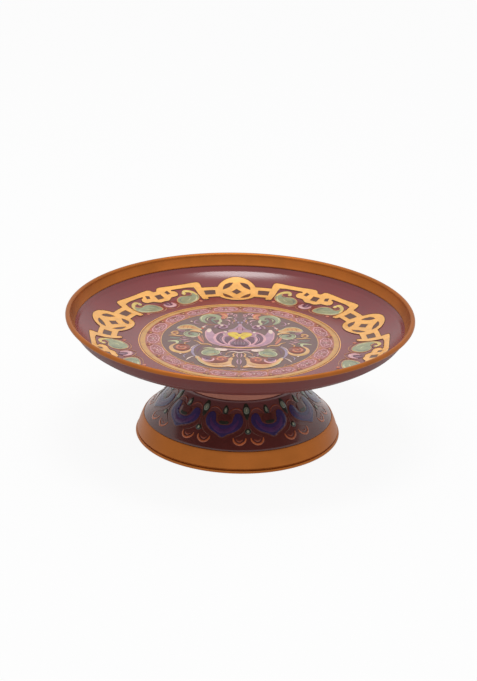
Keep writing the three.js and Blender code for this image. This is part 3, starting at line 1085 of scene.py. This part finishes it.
class PLATE_OT_medallion(bpy.types.Operator):
    """Lay the gold rings, the scalloped band and the dark disc of the medallion"""
    bl_idname = "plate.medallion"
    bl_label = "Medallion rings"

    def execute(self, context):
        sizes, ornament, colours = settings(context)
        form = DishForm(sizes)
        count = ornament.scallops
        low = form.floor - 0.05

        def hoop(name, inside, outside, height, material, slot):
            top = form.floor + height
            corners = [(inside, low, 0), (outside, low, 0), (outside, top, 0.1), (inside, top, 0.1)]
            turned_piece(name, rounded(corners, 2), sizes, material, slot)

        gold = enamel_material("fret_gold_work", colours.gold, 0.3, 0.12)
        copper = enamel_material("ring_copper", shade(colours.gold, 0.66), 0.3, 0.15)
        cream = enamel_material("enamel_cream", colours.cream)
        rose = enamel_material("enamel_rose", colours.rose)
        hoop("ring_fine", 75.0, 75.7, 0.18, gold, "gilt")
        hoop("ring_broad", 70.6, 74.4, 0.24, copper, "gilt")
        hoop("ring_inner", 58.4, 59.0, 0.26, cream, "gilt")
        hoop("band_ground", 58.8, 70.7, 0.08, rose, "lacquer")
        disc_radius, disc_top = 58.5, form.floor + 0.06
        disc = [(0, low), (disc_radius, low), (disc_radius, disc_top), (0, disc_top)]
        turned_piece("disc_ground", disc, sizes, lacquer_material("disc_lacquer", colours.disc), "lacquer",
                     closed=False)

        middle, lobe_steps, lobe_count = 64.6, 36, 9
        lobes = []
        for k in range(lobe_steps):
            angle = 2 * pi * k / lobe_steps
            swell = 1 + 0.06 * cos(lobe_count * angle)
            lobes.append((9.0 * swell * cos(angle), middle + 4.3 * swell * sin(angle)))
        band = Inlay()
        band.fill("mauve", ellipse((0, middle), 8.4, 3.8, 20), 0)
        band.add("pink", stroke(lobes, 0.8, band.thickness, smooth=False, closed=True), 1)
        for side in (-1, 1):
            band.curl("pink", (side * 4.4, middle), 2.3, 90, side * 1.3, 0.75, 1, 12)
        band.line("rust", [(-2.0, 66.4), (0, 67.2), (2.0, 66.4)], 0.8)
        band.line("pink", [(-2.0, 63.0), (0, 62.2), (2.0, 63.0)], 0.8)
        band.pearl("white", 0, 64.7, 0.7)
        between = 180 / count
        notch = ((-2, 69.6), (-0.8, 66.8), (0, 65.6), (0.8, 66.8), (2, 69.6))
        band.fill("rust", [polar(between + aside, radius) for aside, radius in notch], 0)
        for radius in (60.8, 68.0):
            band.pearl("cream", *polar(between, radius), 0.8)
        band.lay("scallop", colours, lambda bm: lay_in_dish(repeated(bm, count, pi / count), form, 0.04))
        return {"FINISHED"}


class PLATE_OT_lotus(bpy.types.Operator):
    """Lay the lotus flower of the medallion, with its heart, petals and pearls"""
    bl_idname = "plate.lotus"
    bl_label = "Lotus flower"

    def execute(self, context):
        sizes, _, colours = settings(context)
        form = DishForm(sizes)
        flower, middle = Inlay(), Inlay()
        self.petals(flower, middle)
        self.heart(flower, middle)
        flower.lay("lotus", colours, lambda bm: lay_in_dish(mirrored(bm), form))
        middle.lay("lotus_middle", colours, lambda bm: lay_in_dish(bm, form))
        return {"FINISHED"}

    def petals(self, flower, middle):
        """The left half of the pale bowl, its hollows and their light rims."""
        middle.fill("lilac", across([
            (0, 12), (-4, 17), (-10.4, 17.4), (-14.2, 16.0), (-17.8, 11.6), (-19.8, 14.6), (-21.2, 19.0),
            (-22.9, 23.2), (-25.0, 18.8), (-25.4, 11.4), (-24.6, 3.2), (-21.2, -4.8), (-14.4, -10.8),
            (-6.6, -12.4), (0, -13.2)]))
        flower.fill("purple", [
            (-13.6, 13.6), (-16.8, 9.2), (-17.6, 3.2), (-16.2, -2.4), (-12.4, -7.6), (-10.6, -4.6),
            (-12.8, 1.4), (-12.6, 8.0)], 2)
        flower.fill("purple", [
            (-9.6, 7.6), (-11.2, 2.8), (-10.8, -2.4), (-8.4, -7.0), (-6.8, -4.4), (-6.8, 0.4), (-5.4, 4.2)],
            2)
        middle.fill("purple", across([(0, 4.4), (-3.4, 0.4), (-6.2, -4.8), (-6.4, -9.6), (0, -11.4)]), 2)
        flower.line("lilac", [(-12.2, 10.4), (-14.8, 4.4), (-13.6, -2.4), (-11.0, -6.6)], 0.7, 3)
        flower.line("lilac", [(-2.4, 0.6), (-3.6, -4.6), (-2.6, -9.8)], 0.7, 3)
        flower.line("lilac", [(-0.8, 2.4), (-1.3, -4.0), (-0.9, -10.4)], 0.6, 3)
        flower.line("pink", [
            (-10.6, 18.0), (-15.4, 14.4), (-18.4, 8.0), (-18.4, 1.0), (-15.0, -6.0), (-9.0, -10.6)],
            [1.0, 1.7, 1.9, 2.0, 1.8, 0.9], 3)
        flower.line("pink", [
            (-9.8, 11.4), (-12.6, 5.6), (-12.4, -0.8), (-9.4, -7.2), (-5.8, -10.6)],
            [0.7, 1.3, 1.4, 1.3, 0.7], 4)
        flower.line("pink", [
            (-1.6, 5.2), (-5.4, 1.0), (-7.8, -4.4), (-7.2, -9.4), (-4.0, -11.4)], [0.6, 1.2, 1.3, 1.2, 0.5],
            4)
        flower.line("pink", [
            (-22.9, 22.8), (-25.2, 18.2), (-25.6, 11.0), (-24.6, 3.0), (-21.0, -5.2), (-14.0, -11.2)],
            [0.7, 1.3, 1.0, 1.0, 1.0, 0.6])
        flower.fill("white", [(-23.0, 22.8), (-24.8, 18.4), (-23.6, 15.0), (-22.0, 16.6), (-21.6, 19.6)], 2)
        middle.arch("cream", [(-15.0, -11.6), (-7.0, -13.0), (0, -14.0)], [0.6, 1.7, 2.0], 3)

    def heart(self, flower, middle):
        """The top petal, the yellow heart and the pearls."""
        middle.fill("lilac", across([
            (0, 34.2), (-1.8, 28.6), (-4.6, 23.8), (-8.6, 20.4), (-8.2, 17.2), (-4, 16.6), (0, 15.0)]), 1)
        flower.line(
            "lavender", [(-0.9, 32.4), (-2.4, 27.2), (-5.4, 22.4), (-8.8, 19.6)], [0.4, 1.0, 1.1, 0.5], 2)
        flower.line("purple", [(-1.4, 27.4), (-2.2, 22.6), (-1.6, 18.6)], 1.2, 2)
        middle.fill("yellow", across([
            (0, 12.8), (-2.4, 15.8), (-6.6, 16.4), (-9.2, 13.4), (-8.2, 9.4), (-4.8, 5.8), (-2.6, 2.6),
            (-1.2, 4.2), (0, 7.2)]), 4)
        flower.line("cream", [(-2.6, 15.2), (-6.2, 15.8), (-8.4, 13.0)], 1.0, 6)
        flower.line("tan", [(-0.6, 7.6), (-2.2, 10.6), (-4.8, 12.4)], 0.8, 6)
        for x, y, radius in ((-10.9, 16.9, 1.2), (-11.9, 11.6, 0.8), (-13.8, 29.9, 1.3), (-27.6, 25.6, 1.1),
                             (-37, 36.2, 0.9), (-43.4, -28.6, 0.9)):
            flower.pearl("white", x, y, radius, 3, 1.2)
        flower.pearl("salmon", -28.4, 23.2, 1.3)


class PLATE_OT_scrolls(bpy.types.Operator):
    """Lay the leaves, caps, curls and crescents round the lotus"""
    bl_idname = "plate.scrolls"
    bl_label = "Scrolls and leaves"

    def execute(self, context):
        sizes, _, colours = settings(context)
        form = DishForm(sizes)
        work, middle = Inlay(), Inlay()
        self.top_leaves(work)
        self.side_scrolls(work)
        self.lower_scrolls(work, middle)
        work.lay("scroll", colours, lambda bm: lay_in_dish(mirrored(bm), form))
        middle.lay("scroll_middle", colours, lambda bm: lay_in_dish(bm, form))
        return {"FINISHED"}

    def top_leaves(self, work):
        """Curled leaves, ribbons and small curls beyond the flower, left half."""
        work.line("green", [
            (-25.2, 34.2), (-28.4, 38.6), (-28.6, 44.6), (-25.0, 49.6), (-19.4, 50.0), (-16.4, 46.0),
            (-18.6, 42.2), (-21.6, 42.6)], [1.6, 3.4, 4.8, 5.2, 5.0, 4.2, 3.0, 1.6])
        work.line("mint", [
            (-28.6, 38.0), (-29.8, 43.6), (-27.6, 49.4), (-22.2, 52.0), (-17.4, 50.6)], 1.3, 3)
        work.line("mint", [(-22.4, 46.6), (-25.0, 43.0), (-24.6, 38.6)], 1.0, 3)
        work.line("jade", [(-20.2, 45.6), (-21.4, 40.6), (-19.8, 36.6), (-17.6, 33.0)], 2.0, 2)
        work.line(
            "mint", [(-15.6, 43.4), (-14.8, 38.6), (-16.2, 34.4), (-13.6, 31.0)], [1.8, 2.2, 2.0, 1.0])
        work.line("tan", [(-17.8, 31.4), (-22.6, 30.6), (-26.2, 33.2)], 1.4)
        work.fill("salmon", [
            (-15.8, 54.6), (-10.8, 55.2), (-9.6, 50.8), (-10.4, 45.2), (-14.4, 44.2), (-13.6, 49.2)])
        work.line("cream", [(-16.4, 53.8), (-12.6, 52.6), (-10.8, 48.0), (-12.4, 43.4)], 1.2, 2)
        work.line("white", [(-10.4, 44.4), (-8.2, 46.2), (-5.8, 45.4)], 1.9, 3)
        work.line("pink", [(-12.0, 41.2), (-8.8, 40.8), (-7.6, 37.8)], 1.7, 2)
        work.fill("purple", ellipse((-13.2, 26.0), 4.2, 3.4))
        work.curl("lilac", (-13.4, 26.8), 5.6, 200, -1.3, 1.4, 2)
        work.curl("pink", (-7.4, 54.0), 2.6, 250, -1.1, 1.1, 2, 10)
        work.curl("pink", (-3.4, 50.8), 2.2, 60, 1.0, 0.9, 2, 10)
        work.line("lilac", [(-1.6, 48.4), (-4.4, 44.8), (-3.0, 40.8), (-5.8, 37.0), (-5.0, 33.2)], 1.2)
        work.pearl("lavender", -1.3, 36.8, 1.1, 1, 1.8)
        work.line("tan", [(-1.2, 55.6), (-3.6, 57.0), (-6.8, 56.8)], 0.9)
        work.line("cream", [(-6.0, 42.6), (-4.2, 40.0), (-5.6, 36.4)], 0.9, 2)
        work.line("purple", [(-18.6, 27.6), (-20.6, 24.4), (-19.8, 20.4)], 1.2)
        work.line("lilac", [(-31.4, 40.2), (-34.6, 37.0), (-33.8, 32.8), (-30.6, 31.6)], 1.1)
        work.line("pink", [(-24.6, 30.2), (-26.8, 27.6), (-25.8, 24.6)], 1.2, 2)
        work.line("salmon", [(-21.8, 53.2), (-18.4, 54.4), (-15.2, 53.0)], 1.0)
        work.line("lilac", [(-9.0, 36.2), (-8.2, 32.4), (-10.0, 29.0)], 1.1, 2)

    def side_scrolls(self, work):
        """Capped scrolls, curls and crescents at the flower's side, left half."""
        work.leaf("cream", "mint", [
            (-46.8, 21.6), (-45.8, 26.0), (-41.2, 29.2), (-35.8, 28.4), (-32.2, 24.4), (-29.4, 19.8),
            (-34.0, 19.4), (-38.4, 21.4), (-42.6, 20.6)], 0, 0.8)
        for x in (-42.6, -39.4, -36.2):
            work.line("tan", [(x, 21.8), (x - 0.2, 24.4), (x + 0.6, 26.8)], 0.8, 2)
        work.line(
            "cream", [(-37.6, 17.2), (-33.8, 17.6), (-30.0, 16.2), (-28.4, 12.8)], [1.6, 3.0, 2.4, 0.8], 2)
        work.line("pink", [(-48.0, 21.4), (-45.4, 18.8), (-41.4, 18.4)], 1.3)
        work.fill("jade", ellipse((-34.6, 12.0), 1.8, 2.2))
        work.line("green", spiral((-35.6, 11.2), 5.2, 110, 1.15), taper(3.8, 15, 0.25))
        work.line("mint", spiral((-35.6, 11.2), 6.6, 130, 0.75, 10, 0.2), 1.1, 2)
        work.line("white", [(-38.2, 6.0), (-35.0, 4.8), (-31.6, 6.6)], 1.4, 2)
        work.fill("rust", ellipse((-48.0, 12.2), 2.6, 2.8))
        work.curl("cream", (-48.2, 12.4), 3.8, 60, 1.15, 1.6, 1, 12)
        work.line(
            "cream", [(-53.4, 7.2), (-49.6, 8.0), (-45.6, 6.8), (-41.8, 8.0)], [0.6, 1.9, 1.8, 0.6], 2)
        work.line("jade", [(-52.4, 3.6), (-48.6, 2.6), (-44.8, 3.6)], 2.6, 0)
        work.line("pink", [(-45.0, 0.8), (-41.4, -0.4), (-38.0, 0.8)], 1.4)
        work.line(
            "mint", [(-53.8, -4.6), (-50.2, -3.6), (-46.6, -4.4), (-46.8, -8.6)], [0.5, 1.9, 2.6, 1.4])
        work.line("green", [(-48.6, -2.6), (-45.2, -2.4), (-43.4, -4.8)], 1.6, 2)
        work.fill("rust", ellipse((-42.4, -15.6), 6.0, 6.4))
        work.curl("salmon", (-42.4, -15.8), 4.6, 120, 1.2, 1.9)
        work.line("cream", [
            (-46.8, -8.4), (-50.0, -12.2), (-50.4, -18.2), (-47.2, -23.6), (-42.0, -25.4), (-37.8, -22.8),
            (-35.8, -18.8)], [1.2, 2.2, 3.2, 3.9, 3.8, 2.8, 0.9])
        work.line("salmon", [(-31.8, 12.0), (-30.4, 5.4), (-28.6, -0.8), (-26.6, -5.6)], 2.6, 0)
        work.line("cream", [
            (-34.6, -1.4), (-30.6, -4.4), (-28.2, -8.2), (-23.4, -8.4), (-20.4, -11.4)],
            [0.5, 1.3, 1.8, 1.6, 0.5], 2)
        work.line("purple", [(-27.8, -12.4), (-30.6, -18.6), (-31.2, -25.6)], 2.4, 0)
        work.line("lavender", [
            (-29.6, -9.6), (-33.4, -14.6), (-34.8, -22.4), (-33.8, -28.8), (-31.4, -33.6)], 2.1)
        work.line("white", [(-38.8, -39.6), (-36.6, -35.4), (-33.4, -32.0)], 1.4)
        work.line("mint", [(-32.4, -30.8), (-30.2, -33.6), (-30.6, -36.8)], 1.9)
        work.line("pink", [(-44.6, 4.4), (-41.8, 3.8), (-39.2, 4.8)], 1.1, 2)
        work.line("straw", [(-50.4, -19.2), (-47.6, -24.2), (-42.4, -26.6)], 1.0, 4)
        work.line("cream", [(-43.6, -17.6), (-41.4, -18.2), (-40.2, -16.2)], 0.9, 3)
        work.line("tan", [(-28.6, 9.6), (-27.8, 3.8), (-26.6, -1.6)], 1.3)
        work.line("white", [(-30.8, -9.4), (-34.8, -14.2), (-36.4, -20.0)], 0.9, 2)
        work.line("lilac", [(-40.6, 15.4), (-44.2, 15.8), (-46.2, 17.6)], 1.1, 2)
        work.line("cream", [(-38.6, -5.2), (-41.0, -7.4), (-40.2, -10.0)], 1.1, 2)
        work.line("pink", [(-36.6, -2.4), (-38.8, -4.0), (-42.2, -3.4)], 1.0)
        work.line("lavender", [(-38.2, -28.2), (-40.8, -31.6), (-40.0, -35.4)], 1.0)

    def lower_scrolls(self, work, middle):
        """Leaves, fleuron and crescents below the flower, left half."""
        work.leaf("green", "mint", [
            (-27.4, -26.8), (-26.2, -20.8), (-22.0, -17.6), (-17.0, -18.6), (-14.6, -22.8), (-16.2, -27.4),
            (-20.6, -29.8), (-24.8, -29.4)], 0, 1.0)
        work.line("jade", [(-25.2, -25.0), (-22.0, -21.6), (-18.2, -22.4), (-18.4, -26.2)], 1.6, 2)
        work.line("mint", [(-27.2, -16.8), (-22.6, -15.4), (-17.6, -16.2)], 1.6)
        work.fill("white", [
            (-18.4, -16.6), (-13.6, -16.4), (-8.8, -19.0), (-11.4, -21.6), (-16.0, -20.2)], 3)
        middle.arch(
            "pink", [(-12.4, -16.2), (-6.2, -18.0), (-1.6, -17.2), (0, -17.4)], [0.6, 1.7, 1.7, 1.8], 2)
        middle.arch("purple", [(-8.0, -20.6), (-3.6, -20.0), (0, -20.2)], [0.5, 1.7, 1.9], 0)
        middle.arch("white", [(-8.8, -24.2), (-4.6, -21.8), (0, -23.6)], [0.5, 1.5, 2.0], 2)
        work.line("cream", [(-2.2, -23.2), (-4.6, -27.0), (-4.0, -31.0), (-6.8, -34.2)], 1.3, 2)
        work.line("tan", [(-6.4, -22.8), (-9.4, -25.6), (-9.8, -29.4)], 1.2)
        work.line("white", [(-11.8, -30.4), (-9.4, -31.8), (-6.6, -30.2)], 1.3, 2)
        work.line("lilac", [(-0.8, -35.6), (-1.4, -41.0), (-0.6, -46.2)], 1.3)
        work.fill("rust", [
            (-28.6, -35.2), (-24.6, -31.2), (-18.0, -31.6), (-12.0, -31.0), (-6.8, -34.2), (-6.6, -41.6),
            (-12.6, -45.6), (-20.4, -46.2), (-26.4, -41.8)])
        work.fill("cream", [
            (-31.4, -32.4), (-30.6, -39.4), (-27.0, -46.2), (-21.0, -51.2), (-14.0, -52.6), (-8.2, -51.2),
            (-3.0, -51.6), (-5.2, -47.4), (-5.4, -40.2), (-5.2, -34.4), (-7.4, -35.6), (-8.4, -41.0),
            (-13.4, -44.6), (-20.2, -45.0), (-25.6, -41.4), (-28.6, -35.6)], 2)
        work.line("mint", [(-31.2, -33.6), (-29.8, -40.6), (-25.4, -47.4), (-19.0, -51.4)], 1.0, 4)
        work.line("tan", [(-24.6, -44.2), (-18.6, -48.0), (-11.8, -48.2), (-7.0, -45.4)], 1.1, 4)
        work.fill("purple", ellipse((-24.0, -34.6), 3.4, 3.2), 1)
        work.line("pink", [
            (-27.0, -35.6), (-25.6, -39.6), (-22.2, -41.2), (-19.2, -39.0), (-18.8, -35.8)], 2.3, 3)
        work.curl("salmon", (-13.2, -37.0), 4.2, 20, 1.1, 1.7, 1, 12)
        work.line("pink", [(-6.6, -54.6), (-3.4, -55.8), (-0.6, -55.2)], 0.9)
        work.line("cream", [(-24.4, -28.2), (-20.4, -28.0), (-17.2, -25.8)], 1.0, 3)
        work.line("pink", [(-1.2, -25.2), (-1.8, -29.0), (-0.9, -33.2)], 0.9, 2)
        work.line("white", [(-12.4, -50.8), (-7.6, -49.6), (-5.6, -46.4)], 0.9, 5)
        work.line("lavender", [(-25.6, -36.6), (-23.6, -38.8), (-21.0, -37.6)], 1.3, 4)
        work.line("cream", [(-16.8, -33.4), (-13.4, -32.2), (-10.2, -33.4)], 0.9, 3)
        work.line("tan", [(-3.8, -53.6), (-1.6, -50.6), (-2.4, -47.0)], 0.9)
        work.line("tan", [(-36.6, -43.0), (-33.6, -45.0), (-32.6, -48.0)], 0.8)
        work.line("lilac", [(-12.8, -24.0), (-14.0, -27.0), (-12.6, -29.6)], 1.1)


# The foot's ornament

class PLATE_OT_petals(bpy.types.Operator):
    """Wrap the petals, beads and loops round the bell foot"""
    bl_idname = "plate.petals"
    bl_label = "Foot petals"

    def execute(self, context):
        sizes, ornament, colours = settings(context)
        foot = FootForm(sizes)
        count, turn, grid = ornament.petals, ornament.petal_turn, 3
        pitch = 2 * pi * WRAP_RADIUS / count

        def at(*pairs):
            """Flat points from degrees round the foot and the share of the way down its flank."""
            return [(radians(a) * WRAP_RADIUS, foot.length * (1 - share)) for a, share in pairs]

        def round_the_foot(bm):
            bm = diced(bm, grid)
            whole = bmesh.new()
            for k in range(count):
                copy = bm.copy()
                bmesh.ops.translate(copy, verts=copy.verts, vec=(pitch * k, 0, 0))
                merge_into(whole, copy)
            bm.free()
            return wrap_on_foot(whole, foot, turn)

        work = Inlay()
        self.petal(work, at)
        self.loops(work, at)
        self.beads(work, at)
        work.lay("petal", colours, round_the_foot)
        return {"FINISHED"}

    def petal(self, work, at):
        """One cup-shaped petal with its open core."""
        work.fill("copper", across(at(
            (0, 0.75), (4.2, 0.69), (10.4, 0.60), (14.8, 0.46), (15.3, 0.34), (13.4, 0.24), (9.6, 0.225),
            (0, 0.27))))
        work.fill("blue", across(at(
            (0, 0.73), (3.8, 0.67), (9.9, 0.585), (14.2, 0.455), (14.7, 0.34), (12.8, 0.25), (9.0, 0.24),
            (7.0, 0.34), (6.2, 0.42), (3.4, 0.475), (0, 0.485))), 1)
        work.fill("foot_lacquer", across(at(
            (0, 0.475), (3.6, 0.46), (5.6, 0.39), (5.4, 0.31), (3.2, 0.27), (0, 0.26))), 2)
        work.fill("pine", across(at((0, 0.47), (3.4, 0.45), (3.8, 0.42), (0, 0.40))), 3)
        work.arch("violet", at(
            (10.6, 0.30), (10.8, 0.38), (9.0, 0.48), (4.8, 0.57), (0, 0.61)), [0.8, 2.0, 3.4, 4.2, 4.6], 2)

    def loops(self, work, at):
        """Horns above the petal, its outer line and the loops below the gap, on both sides."""
        for side in (-1, 1):
            def line(tone, width, points, level=1):
                work.line(tone, [(side * x, y) for x, y in points], width, level)

            line("rust", 1.3, at((3.0, 0.24), (5.0, 0.17), (9.0, 0.13), (13.0, 0.16), (15.0, 0.24)))
            line("copper", 0.9, at((16.6, 0.28), (17.2, 0.42), (15.8, 0.56), (12.6, 0.66), (8.6, 0.72)))
            line("ember", 1.7, at(
                (7.9, 0.735), (8.2, 0.79), (9.9, 0.85), (11.9, 0.87), (14.0, 0.85), (15.9, 0.79),
                (16.3, 0.735)))
            line("rust", 1.5, at((9.8, 0.765), (11.9, 0.80), (14.2, 0.765)), 0)

    def beads(self, work, at):
        """The beads in the gap and on the petal's middle, each on its dark ground."""
        work.fill("pine", at(
            (18, 0.02), (15.4, 0.10), (14.9, 0.18), (16.0, 0.27), (18, 0.36), (20.0, 0.27), (21.1, 0.18),
            (20.6, 0.10)))
        for angle, share, ground, radius, stretch in ((18, 0.17, 0, 2.5, 1.2), (0, 0.18, 2.4, 1.7, 1.7),
                                                      (18, 0.60, 2.3, 1.5, 1.0)):
            x, y = at((angle, share))[0]
            if ground:
                work.pearl("pine", x, y, ground, 0, stretch)
            work.pearl("jade", x, y, radius, 1, stretch)
            work.line("mint", [(x - 0.3, y - 1.1), (x + 0.1, y), (x - 0.1, y + 1.2)], 0.6, 6)


# The stage

def turned_pair(first, second, angle):
    """Two directions at right angles, both turned in their plane."""
    return first * cos(angle) - second * sin(angle), first * sin(angle) + second * cos(angle)


class PLATE_OT_stage(bpy.types.Operator):
    """Make the pale floor, the soft light and the camera"""
    bl_idname = "plate.stage"
    bl_label = "Stage"

    def execute(self, context):
        scene = context.scene
        self.floor(scene)
        self.surroundings(scene)
        self.lamp(scene)
        self.camera(scene)
        scene.view_settings.view_transform = "Standard"
        return {"FINISHED"}

    def floor(self, scene):
        """A matt floor that glows white for the rays that show it, so that it looks like the photo's."""
        bm = bmesh.new()
        bmesh.ops.create_grid(bm, x_segments=1, y_segments=1, size=scene.plate_stage.floor_size / 2)
        bmesh.ops.translate(bm, verts=bm.verts, vec=(0, 0, -FLOOR_GAP))
        mesh = bpy.data.meshes.new("floor")
        bm.to_mesh(mesh)
        bm.free()
        floor = bpy.data.objects.new("floor", mesh)
        scene.collection.objects.link(floor)
        material, graph = new_material("pale_floor")
        lit = graph.node("ShaderNodeBsdfDiffuse", {}, {"Color": scene.plate_stage.floor_colour})
        glow = graph.node("ShaderNodeEmission", {}, {"Color": (1, 1, 1, 1), "Strength": 1.0})
        mixed = graph.node("ShaderNodeMixShader", {}, {
            0: graph.seen_rays() * FLOOR_GLOW, 1: lit.outputs[0], 2: glow.outputs[0]})
        graph.node("ShaderNodeOutputMaterial", {}, {"Surface": mixed.outputs[0]})
        mesh.materials.append(material)

    def surroundings(self, scene):
        """A white world that lights the plate more softly than it shows."""
        world = bpy.data.worlds.new("studio")
        scene.world = world
        world.use_nodes = True
        graph = Graph(world.node_tree)
        soft, white = (graph.node("ShaderNodeBackground", {}, {"Color": (1, 1, 1, 1), "Strength": strength})
                       for strength in (scene.plate_stage.world_light, 1.0))
        mixed = graph.node("ShaderNodeMixShader", {}, {
            0: graph.seen_rays(), 1: soft.outputs[0], 2: white.outputs[0]})
        graph.node("ShaderNodeOutputWorld", {}, {"Surface": mixed.outputs[0]})

    def lamp(self, scene):
        """A soft lamp overhead."""
        lamp = bpy.data.lights.new("overhead", "AREA")
        lamp.shape = "ELLIPSE"
        lamp.size, lamp.size_y = LAMP_SIZE
        lamp.energy = scene.plate_stage.lamp_power
        holder = bpy.data.objects.new("overhead", lamp)
        holder.location = LAMP_PLACE
        scene.collection.objects.link(holder)

    def camera(self, scene):
        """The photo's viewpoint: aimed at the axis, then turned aside, tilted and rolled a little."""
        camera = bpy.data.cameras.new("photo_view")
        camera.lens = LENS
        camera.sensor_width = SENSOR_WIDTH
        eye = bpy.data.objects.new("photo_view", camera)
        scene.collection.objects.link(eye)
        right = Vector((1, 0, 0))
        up = Vector((0, sin(LOOK_DOWN), cos(LOOK_DOWN)))
        ahead = Vector((0, cos(LOOK_DOWN), -sin(LOOK_DOWN)))
        place = Vector((0, 0, AIM_HEIGHT)) - ahead * CAMERA_DISTANCE
        right, ahead = turned_pair(right, ahead, YAW)
        up, ahead = turned_pair(up, ahead, PITCH)
        up, right = turned_pair(up, right, ROLL)
        turn = Matrix((right, up, -ahead)).transposed().to_4x4()
        eye.matrix_world = Matrix.Translation(place) @ turn
        scene.camera = eye


class PLATE_PT_panel(bpy.types.Panel):
    bl_idname = "PLATE_PT_panel"
    bl_label = "Offering plate"
    bl_space_type = "VIEW_3D"
    bl_region_type = "UI"
    bl_category = "Plate"

    def draw(self, context):
        for step in STEPS:
            self.layout.operator(step.bl_idname)


STEPS = (
    PLATE_OT_stage, PLATE_OT_dish, PLATE_OT_rim, PLATE_OT_neck, PLATE_OT_foot, PLATE_OT_band,
    PLATE_OT_hardware, PLATE_OT_fret, PLATE_OT_clouds, PLATE_OT_medallion, PLATE_OT_lotus, PLATE_OT_scrolls,
    PLATE_OT_petals)
GROUPS = (
    ("plate_sizes", PlateSizes), ("plate_ornament", OrnamentSizes), ("plate_colours", PlateColours),
    ("plate_stage", StageSettings))


def register():
    for kind in [group for _, group in GROUPS] + list(STEPS) + [PLATE_PT_panel]:
        bpy.utils.register_class(kind)
    for name, group in GROUPS:
        setattr(bpy.types.Scene, name, bpy.props.PointerProperty(type=group))


def unregister():
    for name, _ in GROUPS:
        delattr(bpy.types.Scene, name)
    for kind in [PLATE_PT_panel] + list(STEPS) + [group for _, group in GROUPS]:
        bpy.utils.unregister_class(kind)


def main():
    register()
    for step in STEPS:
        category, name = step.bl_idname.split(".")
        if getattr(getattr(bpy.ops, category), name)() != {"FINISHED"}:
            raise RuntimeError("step not finished: " + step.bl_label)


if __name__ == "__main__":
    main()
